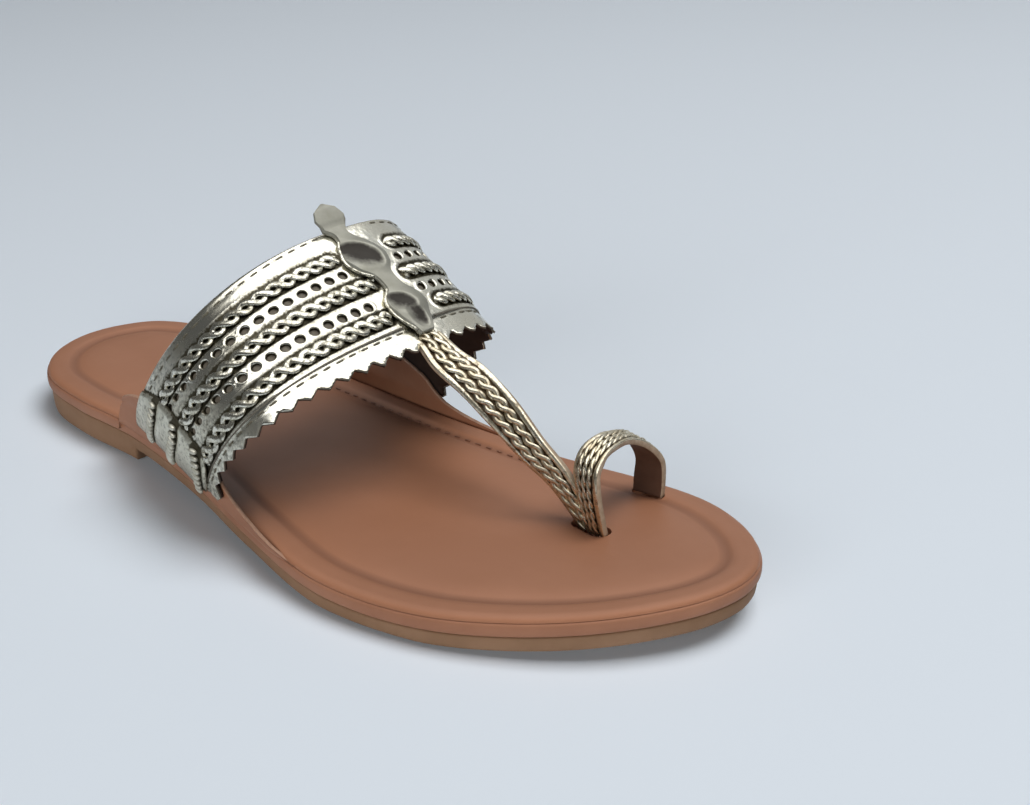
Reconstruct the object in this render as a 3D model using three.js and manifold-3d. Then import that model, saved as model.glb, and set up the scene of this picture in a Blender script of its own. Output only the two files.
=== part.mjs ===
// Kolhapuri toe-loop sandal, right foot, standing empty on its sole.
// Millimetres. +X runs from heel to toe, +Y to the big-toe side, +Z up.
// Every piece is worked out from one last: a plan outline, a side height and a set of arched
// instep sections. x = 0 is the back of the heel until the whole shoe is centred at the end.
import * as THREE from "three";
import { mergeVertices } from "three/addons/utils/BufferGeometryUtils.js";
import Module from "manifold-3d";

const wasm = await Module();
wasm.setup();

// ---------- driving dimensions ----------
const GAP = 0.3; // clearance left between neighbouring pieces
const OVERLAY_GAP = 0.45; // the same under overlays on the curved band
const HEEL_BREAST_X = 66; // front face of the heel block
const BOARD_THICKNESS = 3.7; // wrapped midsole board
const RUBBER_THICKNESS = 5; // outsole at waist and forefoot
const FOOTBED_INSET = 0.7; // footbed rim, set in from the board edge
const BAND_WALL = 1.6; // leather and lining of the instep band
const BAND_STANDOFF = 2.6; // outer face of the band beyond the board edge
const INSTEP_LEAN = 0.7; // each instep section leans forward by this much per unit of height
const BAND_BACK = 64.5; // section coordinate of the band's back edge
const TOOTH_COUNT = 30; // pinked teeth along the band's front edge
const TOOTH_DEPTH = 3.2; // tooth depth, in section coordinate
const WING_REAR_X = 62; // back end of the leather wing at each side
const WING_FRONT_X = 158; // front end of that wing
const WING_WALL = 1.15;
const WING_CLEARANCE = 1.1; // between the wing and the inside of the band
const FLANGE_REACH = 6.5; // how far the wing is lasted in between board and footbed
const FLANGE_THICKNESS = 0.9;
const PANEL_THICKNESS = 1; // overlay at each foot of the band
const ORNAMENT_THICKNESS = 1.4;
const STRAP_THICKNESS = 1.8; // toe strap and toe loop
const STRAP_END_Z = 10.1; // where both end, just above the board

// Plan outline of the board: half-widths to the big-toe side (medial) and the outer side (lateral).
const PLAN = [
  { x: 2, medial: 10.5, lateral: 10.5 },
  { x: 8, medial: 20.5, lateral: 20.5 },
  { x: 20, medial: 27, lateral: 29 },
  { x: 40, medial: 29, lateral: 33 },
  { x: 67, medial: 30, lateral: 34 },
  { x: 100, medial: 30, lateral: 40 },
  { x: 132, medial: 30.5, lateral: 48.5 },
  { x: 165, medial: 33.5, lateral: 55 },
  { x: 195, medial: 37.5, lateral: 51 },
  { x: 216, medial: 36, lateral: 41.5 },
  { x: 232, medial: 29, lateral: 30 },
  { x: 243, medial: 20, lateral: 17.5 },
  { x: 248.5, medial: 12, lateral: 7.5 },
];
const HEEL_TIP = { x: 0, y: 0 };
const TOE_TIP = { x: 250.5, y: 3 };

// Height of the board's top face along the length: heel, waist, ball and toe spring.
const BOARD_TOP = [
  { x: 0, z: 12.5 },
  { x: 50, z: 12.5 },
  { x: 100, z: 11.5 },
  { x: 150, z: 9.5 },
  { x: 170, z: 8.5 },
  { x: 190, z: 8.5 },
  { x: 215, z: 10 },
  { x: 251, z: 14 },
];

// Footbed cross-section from rim to pad: distance in from its own edge, and height over the board.
const FOOTBED_TOP = [
  { inset: 0, rise: 0.8 },
  { inset: 0.5, rise: 1.3 },
  { inset: 2, rise: 1.7 },
  { inset: 5, rise: 1.65 },
  { inset: 6.6, rise: 1.4 },
  { inset: 7.8, rise: 0.95 },
  { inset: 9, rise: 1.3 },
  { inset: 11, rise: 1.8 },
  { inset: 14, rise: 1.95 },
];

// Instep sections. Section coordinate a = x - INSTEP_LEAN * z; crest and half-widths of the arch,
// height of its widest point, roundness of each side, and height of the band's lower edge.
const INSTEP = [
  {
    a: 64.5,
    crestY: 5.5,
    crestZ: 70.5,
    halfLateral: 47.5,
    halfMedial: 36.5,
    wideZ: 33,
    roundLateral: 2.3,
    roundMedial: 3,
    baseZ: 18,
  },
  {
    a: 90.5,
    crestY: 3,
    crestZ: 61,
    halfLateral: 52,
    halfMedial: 35.5,
    wideZ: 30,
    roundLateral: 2.5,
    roundMedial: 3,
    baseZ: 15,
  },
  {
    a: 118,
    crestY: 0,
    crestZ: 49,
    halfLateral: 51.5,
    halfMedial: 37,
    wideZ: 26,
    roundLateral: 2.8,
    roundMedial: 3,
    baseZ: 13,
  },
];

// Front edge of the band at the tooth tips, from the lateral foot (-1) over the crest (0) to the medial foot (1).
const BAND_FRONT = [
  { t: -1, a: 116 },
  { t: -0.8, a: 113 },
  { t: -0.6, a: 114 },
  { t: -0.35, a: 117 },
  { t: 0, a: 119 },
  { t: 0.35, a: 119 },
  { t: 0.6, a: 117 },
  { t: 0.8, a: 115 },
  { t: 1, a: 116 },
];

// Upper edge of the overlay at each foot of the band.
const PANEL_EDGE = [
  { a: 64.5, t: 0.815 },
  { a: 76, t: 0.77 },
  { a: 89, t: 0.77 },
  { a: 97, t: 0.79 },
  { a: 102, t: 0.825 },
  { a: 105, t: 0.88 },
  { a: 107.5, t: 0.965 },
];

// Upper edge of the wing along the shoe: rounded rear corner, hidden stretch, front taper.
const WING_TOP = [
  { x: 62, z: 14 },
  { x: 63.5, z: 18.5 },
  { x: 66.5, z: 22 },
  { x: 71, z: 24.6 },
  { x: 78, z: 26 },
  { x: 100, z: 25 },
  { x: 118, z: 20.5 },
  { x: 125, z: 17 },
  { x: 134, z: 13.8 },
  { x: 146, z: 11.6 },
  { x: 158, z: 10.7 },
];

// Toe strap, from under the band's crest down to the toe post: centre of the outer face, width and
// twist of the face about the strap's own line in degrees.
const TOE_STRAP = [
  { x: 145, y: 3.5, z: 51.5, width: 9.5, twist: 0 },
  { x: 152, y: 3, z: 49, width: 9.5, twist: 0 },
  { x: 158, y: 2, z: 46, width: 9.5, twist: 15 },
  { x: 166, y: 2, z: 42.5, width: 9.5, twist: 38 },
  { x: 176, y: 2, z: 36, width: 9.5, twist: 62 },
  { x: 185.5, y: 2.5, z: 28, width: 9, twist: 80 },
  { x: 193, y: 3.5, z: 22, width: 8.5, twist: 92 },
  { x: 198.5, y: 4.5, z: 15, width: 8, twist: 100 },
  { x: 203, y: 6, z: 7.5, width: 7, twist: 104 },
];

// Toe loop, from the post over the big toe to its inner slot: centre of the outer face, and the
// vector from its back edge to its front edge.
const TOE_LOOP = [
  { x: 204.5, y: 5, z: 8, wideX: 8, wideY: -2.5, wideZ: 1.5 },
  { x: 204.5, y: 3, z: 13.5, wideX: 9, wideY: -3, wideZ: 0.5 },
  { x: 203, y: 2, z: 25, wideX: 10.5, wideY: -4, wideZ: -2 },
  { x: 202.5, y: 4, z: 29.5, wideX: 10, wideY: -6, wideZ: -2.5 },
  { x: 202.5, y: 8.5, z: 32, wideX: 8.5, wideY: -7.5, wideZ: -1.5 },
  { x: 202, y: 14.5, z: 32, wideX: 7.5, wideY: -8, wideZ: 0.5 },
  { x: 201, y: 22, z: 30, wideX: 7.5, wideY: -7, wideZ: 2.5 },
  { x: 201.5, y: 28, z: 25.5, wideX: 8.5, wideY: -4.5, wideZ: 4 },
  { x: 202, y: 31.5, z: 20, wideX: 9.5, wideY: -1.5, wideZ: 3 },
  { x: 202, y: 31.5, z: 14, wideX: 9.5, wideY: 0, wideZ: 1.5 },
  { x: 202, y: 31, z: 8, wideX: 9, wideY: 0, wideZ: 0 },
];

// Crest ornament along its own line: centre line, half-width, and swell of the padded lobes.
const ORNAMENT = [
  { a: 65, centre: 5, half: 4, swell: 0 },
  { a: 68, centre: 5, half: 2.5, swell: 0 },
  { a: 71, centre: 5, half: 3, swell: 0.3 },
  { a: 74.5, centre: 5, half: 5, swell: 1 },
  { a: 80.5, centre: 5, half: 7, swell: 2 },
  { a: 85.5, centre: 5, half: 6, swell: 1.2 },
  { a: 89, centre: 5, half: 3.5, swell: 0.3 },
  { a: 92, centre: 5, half: 3, swell: 0 },
  { a: 95.5, centre: 5, half: 3.5, swell: 0.2 },
  { a: 99, centre: 4.5, half: 6, swell: 1 },
  { a: 104, centre: 4.5, half: 7, swell: 1.8 },
  { a: 108.5, centre: 4, half: 5.5, swell: 1 },
  { a: 112, centre: 4, half: 4, swell: 0.2 },
  { a: 114.5, centre: 3.5, half: 3, swell: 0 },
];
// Pointed tab that stands up behind the ornament: offsets back and up from the band's back edge.
const TAB = [
  { back: 4, up: 6.4, half: 0.5 },
  { back: 2.4, up: 4.9, half: 3.2 },
  { back: 0.9, up: 3.3, half: 4.8 },
  { back: -0.4, up: 2.2, half: 4.6 },
];

// Slots of the footbed that take the straps: at the toe post and inside the big toe.
const SLOTS = [
  { x: 203, y: 5, length: 14.6, width: 7.6, turn: -12 },
  { x: 201.9, y: 30.4, length: 10.6, width: 3.4, turn: 0 },
];

// ---------- small tools ----------

// Value of one column of a table at a place, along a smooth curve through the rows.
function alongTable(rows, column, place, key = "x") {
  const last = rows.length - 1;
  const at = THREE.MathUtils.clamp(place, rows[0][key], rows[last][key]);
  let i = 0;
  while (i < last - 1 && rows[i + 1][key] < at) i += 1;
  const slope = (k) => {
    const from = rows[Math.max(k - 1, 0)];
    const to = rows[Math.min(k + 1, last)];
    return (to[column] - from[column]) / (to[key] - from[key]);
  };
  const span = rows[i + 1][key] - rows[i][key];
  const u = (at - rows[i][key]) / span;
  const rise = 3 * u * u - 2 * u * u * u;
  return (
    rows[i][column] * (1 - rise) +
    rows[i + 1][column] * rise +
    slope(i) * span * (u - 2 * u * u + u * u * u) +
    slope(i + 1) * span * (u * u * u - u * u)
  );
}

// A closed body from vertices and triangles, turned so that its faces point outwards.
function closedBody(vertices, triangles) {
  let volume = 0;
  const cross = new THREE.Vector3();
  for (const [a, b, c] of triangles) {
    volume += cross.crossVectors(vertices[b], vertices[c]).dot(vertices[a]);
  }
  const facing = volume < 0 ? triangles.map(([a, b, c]) => [a, c, b]) : triangles;
  const geometry = new THREE.BufferGeometry();
  geometry.setAttribute(
    "position",
    new THREE.Float32BufferAttribute(
      vertices.flatMap((v) => [v.x, v.y, v.z]),
      3,
    ),
  );
  geometry.setIndex(facing.flat());
  return geometry;
}

// A sheet of leather: one grid of points for its outer face and one for its inner face.
function sheet(outer, inner) {
  const rows = outer.length;
  const columns = outer[0].length;
  const vertices = [...outer.flat(), ...inner.flat()];
  const out = (i, j) => i * columns + j;
  const under = (i, j) => rows * columns + i * columns + j;
  const triangles = [];
  const quad = (a, b, c, d) => triangles.push([a, b, c], [a, c, d]);
  for (let i = 0; i < rows - 1; i += 1) {
    for (let j = 0; j < columns - 1; j += 1) {
      quad(out(i, j), out(i + 1, j), out(i + 1, j + 1), out(i, j + 1));
      quad(under(i, j), under(i, j + 1), under(i + 1, j + 1), under(i + 1, j));
    }
    quad(out(i, 0), under(i, 0), under(i + 1, 0), out(i + 1, 0));
    const end = columns - 1;
    quad(out(i, end), out(i + 1, end), under(i + 1, end), under(i, end));
  }
  for (let j = 0; j < columns - 1; j += 1) {
    const end = rows - 1;
    quad(out(0, j), out(0, j + 1), under(0, j + 1), under(0, j));
    quad(out(end, j), under(end, j), under(end, j + 1), out(end, j + 1));
  }
  return closedBody(vertices, triangles);
}

// A closed body from a stack of rings round the sole, top ring first, both ends closed across.
function stack(rings) {
  const count = rings[0].length;
  const triangles = [];
  for (let k = 0; k < rings.length - 1; k += 1) {
    for (let i = 0; i < count; i += 1) {
      const next = (i + 1) % count;
      const [a, b] = [k * count + i, k * count + next];
      triangles.push([a, a + count, b + count], [a, b + count, b]);
    }
  }
  const close = (base, flip) => {
    const add = (a, b, c) => triangles.push(flip ? [a, c, b] : [a, b, c]);
    for (let i = 0; i < count / 2; i += 1) {
      const [a, b] = [base + i, base + i + 1];
      const [c, d] = [base + count - i - 1, base + ((count - i) % count)];
      if (i > 0) add(a, c, d);
      if (b !== c) add(a, b, c);
    }
  };
  close(0, false);
  close((rings.length - 1) * count, true);
  return closedBody(rings.flat(), triangles);
}

function toSolid(geometry) {
  const plain = geometry.clone();
  plain.deleteAttribute("normal");
  plain.deleteAttribute("uv");
  const merged = mergeVertices(plain, 1e-4);
  return new wasm.Manifold(
    new wasm.Mesh({
      numProp: 3,
      vertProperties: merged.attributes.position.array,
      triVerts: new Uint32Array(merged.index.array),
    }),
  );
}

function toGeometry(solid) {
  const mesh = solid.getMesh();
  const geometry = new THREE.BufferGeometry();
  geometry.setAttribute("position", new THREE.BufferAttribute(mesh.vertProperties, 3));
  geometry.setIndex(new THREE.BufferAttribute(mesh.triVerts, 1));
  return geometry;
}

// ---------- the last ----------
const RING_COUNT = 96;

function outlineCurve() {
  const lateral = PLAN.map((row) => new THREE.Vector3(row.x, -row.lateral, 0));
  const medial = PLAN.map((row) => new THREE.Vector3(row.x, row.medial, 0)).reverse();
  const heel = new THREE.Vector3(HEEL_TIP.x, HEEL_TIP.y, 0);
  const toe = new THREE.Vector3(TOE_TIP.x, TOE_TIP.y, 0);
  return new THREE.CatmullRomCurve3([heel, ...lateral, toe, ...medial], true, "centripetal");
}

const OUTLINE = outlineCurve();
OUTLINE.arcLengthDivisions = 1200;
const EDGE = OUTLINE.getSpacedPoints(720);

// Plan position of the board edge at one side (-1 lateral, 1 medial).
function edgeY(side, x) {
  let best = 0;
  for (let i = 0; i < EDGE.length - 1; i += 1) {
    const [p, q] = [EDGE[i], EDGE[i + 1]];
    if ((p.x - x) * (q.x - x) > 0 || p.x === q.x) continue;
    const y = p.y + ((q.y - p.y) * (x - p.x)) / (q.x - p.x);
    if (side * y > side * best) best = y;
  }
  return best;
}

const boardTop = (x) => alongTable(BOARD_TOP, "z", x);

// One ring round the sole, set in from the board edge, at a height that may vary along the shoe.
function ring(inset, height) {
  const points = [];
  for (let i = 0; i < RING_COUNT; i += 1) {
    const u = i / RING_COUNT;
    const place = OUTLINE.getPointAt(u);
    const along = OUTLINE.getTangentAt(u);
    const x = place.x - along.y * inset;
    const y = place.y + along.x * inset;
    points.push(new THREE.Vector3(x, y, height(x)));
  }
  return points;
}

// Numbers of the instep section at one section coordinate.
function instepAt(a) {
  const value = (column) => alongTable(INSTEP, column, a, "a");
  return {
    crestY: value("crestY"),
    crestZ: value("crestZ"),
    wideZ: value("wideZ"),
    baseZ: value("baseZ"),
    half: { "-1": value("halfLateral"), 1: value("halfMedial") },
    round: { "-1": value("roundLateral"), 1: value("roundMedial") },
  };
}

// One side of an instep arch, from crest down to the band's lower edge.
const ARCH_STEPS = 60;
const FLANK_STEPS = 10;

function archSide(a, side) {
  const s = instepAt(a);
  const widestY = s.crestY + side * s.half[side];
  const footX = a + INSTEP_LEAN * s.baseZ;
  const footY = edgeY(side, footX) + side * BAND_STANDOFF;
  const points = [];
  for (let i = 0; i <= ARCH_STEPS; i += 1) {
    const angle = ((Math.PI / 2) * i) / ARCH_STEPS;
    const across = Math.sin(angle) ** (2 / s.round[side]);
    const up = Math.max(Math.cos(angle), 0) ** (2 / s.round[side]);
    points.push([s.crestY + side * s.half[side] * across, s.wideZ + (s.crestZ - s.wideZ) * up]);
  }
  for (let i = 1; i <= FLANK_STEPS; i += 1) {
    const u = i / FLANK_STEPS;
    points.push([widestY + (footY - widestY) * u * u, s.wideZ + (s.baseZ - s.wideZ) * u]);
  }
  return points.map(([y, z]) => new THREE.Vector3(a + INSTEP_LEAN * z, y, z));
}

// Point of the band's outer face: section coordinate a, and t from -1 over 0 at the crest to 1.
function bandPoint(a, t) {
  const points = archSide(a, t < 0 ? -1 : 1);
  const lengths = [0];
  for (let i = 1; i < points.length; i += 1) {
    lengths.push(lengths[i - 1] + points[i].distanceTo(points[i - 1]));
  }
  const wanted = Math.abs(t) * lengths[lengths.length - 1];
  let i = 0;
  while (i < points.length - 2 && lengths[i + 1] < wanted) i += 1;
  const u = (wanted - lengths[i]) / (lengths[i + 1] - lengths[i]);
  return points[i].clone().lerp(points[i + 1], u);
}

// The same face moved outwards (or inwards, when negative) along its normal.
function bandOffset(a, t, offset) {
  const step = 0.01;
  const alongA = bandPoint(a + 0.5, t).sub(bandPoint(a - 0.5, t));
  const alongT = bandPoint(a, Math.min(t + step, 1)).sub(bandPoint(a, Math.max(t - step, -1)));
  const normal = alongA.cross(alongT).normalize();
  return bandPoint(a, t).addScaledVector(normal, offset);
}

// Distance out from the middle plane to the flank, at a place along the shoe and a height below
// the widest point, moved in along the normal by a depth.
function flankReach(side, x, z, depth) {
  const s = instepAt(x - INSTEP_LEAN * z);
  const foot = side * edgeY(side, x) + BAND_STANDOFF;
  const bulge = side * s.crestY + s.half[side] - foot;
  const drop = s.wideZ - s.baseZ;
  const u = THREE.MathUtils.clamp((s.wideZ - z) / drop, 0, 1);
  const slopeUp = (2 * u * bulge) / drop;
  const slopeAlong = edgeY(side, x + 1) - edgeY(side, x - 1);
  return foot + bulge * (1 - u * u) - depth * Math.hypot(1, slopeUp, slopeAlong / 2);
}

// ---------- pieces ----------

// Moulded rubber unit: heel block, breast, waist, flat ball and toe spring.
function outsole() {
  const under = (x) => boardTop(x) - BOARD_THICKNESS - GAP;
  const ground = (x) => Math.max(0, under(x) + GAP - RUBBER_THICKNESS);
  const profile = new THREE.Shape();
  profile.moveTo(-3, 0);
  profile.lineTo(HEEL_BREAST_X, 0);
  for (let x = HEEL_BREAST_X + 1.2; x <= 254; x += 5.2) profile.lineTo(x, ground(x));
  for (let x = 254; x >= -3; x -= 5.14) profile.lineTo(x, under(x));
  const side = new THREE.ExtrudeGeometry(profile, { depth: 140, bevelEnabled: false });
  side.rotateX(Math.PI / 2);
  side.translate(0, 70, 0);
  const block = stack([
    ring(0.9, () => 20),
    ring(1.3, () => 1.4),
    ring(1.7, () => 0.4),
    ring(2.6, () => -1),
  ]);
  return toGeometry(toSolid(block).intersect(toSolid(side)));
}

// Leather-wrapped board between outsole and footbed, with a shallow seat for each wing.
function midsole() {
  const level = (drop) => (x) => boardTop(x) - drop;
  const board = stack([
    ring(0.7, level(0)),
    ring(0.15, level(0.5)),
    ring(0, level(1.6)),
    ring(0.15, level(BOARD_THICKNESS - 0.5)),
    ring(0.8, level(BOARD_THICKNESS)),
  ]);
  const seatFloor = FLANGE_THICKNESS + GAP;
  let solid = toSolid(board);
  const stations = 25;
  const seatLength = WING_FRONT_X - WING_REAR_X + 2 * GAP;
  for (const side of [-1, 1]) {
    const low = [];
    const high = [];
    for (let i = 0; i <= stations; i += 1) {
      const x = WING_REAR_X - GAP + (seatLength * i) / stations;
      const inside = edgeY(side, x) - side * (FLANGE_REACH + GAP);
      const outside = edgeY(side, x) + side * 4;
      const floor = boardTop(x) - seatFloor;
      low.push([new THREE.Vector3(x, inside, floor), new THREE.Vector3(x, outside, floor)]);
      const roof = floor + 5;
      high.push([new THREE.Vector3(x, inside, roof), new THREE.Vector3(x, outside, roof)]);
    }
    solid = solid.subtract(toSolid(sheet(high, low)));
  }
  return toGeometry(solid);
}

// Padded footbed: rolled rim, pressed groove and raised pad, with slots for the toe straps.
function footbed() {
  const rings = FOOTBED_TOP.map((row) =>
    ring(FOOTBED_INSET + row.inset, (x) => boardTop(x) + row.rise),
  ).reverse();
  rings.push(ring(FOOTBED_INSET, (x) => boardTop(x) + GAP));
  let solid = toSolid(stack(rings));
  for (const slot of SLOTS) {
    const cutter = new THREE.BoxGeometry(slot.length, slot.width, 12);
    cutter.rotateZ(THREE.MathUtils.degToRad(slot.turn));
    cutter.translate(slot.x, slot.y, boardTop(slot.x));
    solid = solid.subtract(toSolid(cutter));
  }
  return toGeometry(solid);
}

// Instep band with its pinked front edge.
function band() {
  const outer = [];
  const inner = [];
  const bandRows = 9;
  for (let i = 0; i <= bandRows; i += 1) {
    const outerRow = [];
    const innerRow = [];
    for (let j = 0; j <= 2 * TOOTH_COUNT; j += 1) {
      const t = (j - TOOTH_COUNT) / TOOTH_COUNT;
      const front = alongTable(BAND_FRONT, "a", t, "t") - (j % 2) * TOOTH_DEPTH;
      const a = BAND_BACK + (front - BAND_BACK) * (i / bandRows);
      outerRow.push(bandOffset(a, t, 0));
      innerRow.push(bandOffset(a, t, -BAND_WALL));
    }
    outer.push(outerRow);
    inner.push(innerRow);
  }
  return sheet(outer, inner);
}

// A strap from its centre line and width vectors; the outer face lies on the line.
function strap(centres, widths, bulge = 0.35) {
  const line = new THREE.CatmullRomCurve3(centres, false, "centripetal");
  const spans = new THREE.CatmullRomCurve3(widths, false, "centripetal");
  const steps = (centres.length - 1) * 3;
  const across = [-0.5, -0.25, 0, 0.25, 0.5];
  const outer = [];
  const inner = [];
  for (let i = 0; i <= steps; i += 1) {
    const centre = line.getPoint(i / steps);
    const along = line.getTangent(i / steps);
    const wide = spans.getPoint(i / steps);
    const normal = along.clone().cross(wide).normalize();
    const at = (u, depth) =>
      centre
        .clone()
        .addScaledVector(wide, u)
        .addScaledVector(normal, bulge * (1 - 4 * u * u) - depth);
    outer.push(across.map((u) => at(u, 0)));
    inner.push(across.map((u) => at(u, STRAP_THICKNESS)));
  }
  return sheet(outer, inner);
}

// Toe strap: width vectors turn from across the foot to along it at the post.
function toeStrap() {
  const centres = TOE_STRAP.map((row) => new THREE.Vector3(row.x, row.y, row.z));
  const line = new THREE.CatmullRomCurve3(centres, false, "centripetal");
  const widths = TOE_STRAP.map((row, i) => {
    const along = line.getTangent(i / (TOE_STRAP.length - 1));
    const wide = new THREE.Vector3(0, 1, 0).addScaledVector(along, -along.y).normalize();
    const angle = THREE.MathUtils.degToRad(row.twist);
    return wide.applyAxisAngle(along, angle).multiplyScalar(row.width);
  });
  return strap(centres, widths);
}

function toeLoop() {
  const centres = TOE_LOOP.map((row) => new THREE.Vector3(row.x, row.y, row.z));
  const widths = TOE_LOOP.map((row) => new THREE.Vector3(-row.wideX, -row.wideY, -row.wideZ));
  return strap(centres, widths, 0.2);
}

// The upper: band, toe strap and toe loop, joined where they cross; the two straps end in the
// slots of the footbed, on one level.
function upper() {
  const below = new THREE.BoxGeometry(60, 60, 20);
  below.translate(205, 15, STRAP_END_Z - 10);
  const straps = toSolid(toeStrap()).add(toSolid(toeLoop())).subtract(toSolid(below));
  return toGeometry(toSolid(band()).add(straps));
}

// Brown leather wing, lasted in over the board and standing up inside the band.
function wing(side) {
  const stations = 26;
  const riserSteps = 5;
  const outer = [];
  const inner = [];
  for (let i = 0; i <= stations; i += 1) {
    const spread = i / stations;
    const x = WING_REAR_X + (WING_FRONT_X - WING_REAR_X) * spread ** 1.25;
    const edge = side * edgeY(side, x);
    const seat = boardTop(x);
    const top = alongTable(WING_TOP, "z", x);
    const outerPath = [
      [edge - FLANGE_REACH, seat - FLANGE_THICKNESS],
      [edge - 1.2, seat - FLANGE_THICKNESS],
      [edge + 0.2, seat - 0.6],
      [edge + 0.6, seat],
    ];
    const innerPath = [
      [edge - FLANGE_REACH, seat],
      [edge - 1.6, seat],
      [edge - 0.5, seat + 0.02],
      [edge - 0.35, seat + 0.4],
    ];
    for (let k = 1; k <= riserSteps; k += 1) {
      const z = seat + 0.6 + ((top - seat - 0.6) * k) / riserSteps;
      const inBand = flankReach(side, x, z, BAND_WALL + WING_CLEARANCE);
      const face = Math.max(inBand, edge + 0.9);
      outerPath.push([face, z]);
      innerPath.push([face - WING_WALL, z]);
    }
    outer.push(outerPath.map(([y, z]) => new THREE.Vector3(x, side * y, z)));
    inner.push(innerPath.map(([y, z]) => new THREE.Vector3(x, side * y, z)));
  }
  return sheet(outer, inner);
}

// Overlay at one foot of the band, lying on its outer face.
function sidePanel(side) {
  const columns = 14;
  const rows = 5;
  const last = PANEL_EDGE[PANEL_EDGE.length - 1].a;
  const outer = [];
  const inner = [];
  for (let i = 0; i <= columns; i += 1) {
    const a = BAND_BACK + 0.2 + ((last - BAND_BACK - 0.2) * i) / columns;
    const edge = alongTable(PANEL_EDGE, "t", a, "a");
    const place = (j) => side * (edge + ((0.995 - edge) * j) / rows);
    const steps = Array.from({ length: rows + 1 }, (_, j) => place(j));
    outer.push(steps.map((t) => bandOffset(a, t, OVERLAY_GAP + PANEL_THICKNESS)));
    inner.push(steps.map((t) => bandOffset(a, t, OVERLAY_GAP)));
  }
  return sheet(outer, inner);
}

// Ornament on the crest: pointed tab, two padded lobes and a tail over the toe strap.
function crestOrnament() {
  const across = [-1, -0.8, -0.5, 0, 0.5, 0.8, 1];
  const outer = [];
  const inner = [];
  const reach = 92; // length of half an arch, which turns millimetres across into t
  const rim = bandPoint(BAND_BACK, (ORNAMENT[0].centre - INSTEP[0].crestY) / reach);
  for (const row of TAB) {
    const at = (u, depth) => {
      const back = rim.x - row.back - depth * 0.7;
      return new THREE.Vector3(back, rim.y + row.half * u, rim.z + row.up - depth * 0.7);
    };
    outer.push(across.map((u) => at(u, 0)));
    inner.push(across.map((u) => at(u, ORNAMENT_THICKNESS)));
  }
  const stations = 24;
  const [first, last] = [ORNAMENT[0].a, ORNAMENT[ORNAMENT.length - 1].a];
  for (let i = 0; i <= stations; i += 1) {
    const a = first + ((last - first) * i) / stations;
    const half = alongTable(ORNAMENT, "half", a, "a");
    const swell = alongTable(ORNAMENT, "swell", a, "a");
    const centre = alongTable(ORNAMENT, "centre", a, "a") - instepAt(a).crestY;
    const place = (u) => (centre + u * half) / reach;
    const lift = (u) => OVERLAY_GAP + ORNAMENT_THICKNESS + swell * (1 - u * u);
    outer.push(across.map((u) => bandOffset(a, place(u), lift(u))));
    inner.push(across.map((u) => bandOffset(a, place(u), OVERLAY_GAP)));
  }
  return sheet(outer, inner);
}

// ---------- the shoe ----------
const FINISHES = {
  rubber: { color: 0x7e6650, roughness: 0.85, metalness: 0 },
  tan: { color: 0x966e58, roughness: 0.6, metalness: 0 },
  gold: { color: 0xbebcac, roughness: 0.3, metalness: 0.9 },
};

function piece(name, geometry, finish) {
  geometry.computeVertexNormals();
  const mesh = new THREE.Mesh(geometry, new THREE.MeshStandardMaterial(FINISHES[finish]));
  mesh.name = name;
  return mesh;
}

const shoe = new THREE.Group();
shoe.add(
  piece("outsole", outsole(), "rubber"),
  piece("midsole_board", midsole(), "tan"),
  piece("footbed", footbed(), "tan"),
  piece("upper", upper(), "gold"),
  piece("wing_lateral", wing(-1), "tan"),
  piece("wing_medial", wing(1), "tan"),
  piece("side_panel_lateral", sidePanel(-1), "gold"),
  piece("side_panel_medial", sidePanel(1), "gold"),
  piece("crest_ornament", crestOrnament(), "gold"),
);

// The shoe stands on z = 0 with the middle of its bounding box over the origin.
const bounds = new THREE.Box3().setFromObject(shoe);
const middle = bounds.getCenter(new THREE.Vector3());
shoe.position.set(-middle.x, -middle.y, -bounds.min.z);

export default shoe;
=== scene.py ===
import math

import bmesh
import bpy
import numpy as np
from mathutils import Matrix, Vector
from mathutils.geometry import delaunay_2d_cdt


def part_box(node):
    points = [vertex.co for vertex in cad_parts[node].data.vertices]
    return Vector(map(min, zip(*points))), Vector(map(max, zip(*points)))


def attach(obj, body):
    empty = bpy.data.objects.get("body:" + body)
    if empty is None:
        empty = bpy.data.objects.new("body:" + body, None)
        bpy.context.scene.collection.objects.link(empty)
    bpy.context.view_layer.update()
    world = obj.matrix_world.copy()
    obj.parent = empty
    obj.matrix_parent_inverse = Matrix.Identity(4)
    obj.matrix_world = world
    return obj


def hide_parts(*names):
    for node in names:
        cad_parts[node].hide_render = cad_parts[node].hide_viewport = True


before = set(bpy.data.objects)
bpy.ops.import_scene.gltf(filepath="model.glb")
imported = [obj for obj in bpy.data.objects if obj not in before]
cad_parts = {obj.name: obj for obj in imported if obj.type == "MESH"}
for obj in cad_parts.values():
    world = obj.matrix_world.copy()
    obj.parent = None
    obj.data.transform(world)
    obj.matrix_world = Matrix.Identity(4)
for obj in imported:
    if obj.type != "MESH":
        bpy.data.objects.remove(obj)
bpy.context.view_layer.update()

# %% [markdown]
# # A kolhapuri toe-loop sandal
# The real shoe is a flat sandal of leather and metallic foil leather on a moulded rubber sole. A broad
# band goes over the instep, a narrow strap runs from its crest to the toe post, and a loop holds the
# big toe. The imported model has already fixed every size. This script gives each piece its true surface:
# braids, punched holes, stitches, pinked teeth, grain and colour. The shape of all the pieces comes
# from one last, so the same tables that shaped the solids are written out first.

MM = 0.001

# %% [markdown]
# ## The last
# A last is the wooden foot that a shoe is built on. Here it is three tables: the plan outline of the
# board, the height of the board's top along its length, and the arched sections of the instep band.
# Millimetres are easier to read than metres, so the tables stay in millimetres, measured from the back
# of the heel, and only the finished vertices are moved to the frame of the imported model.

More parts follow.
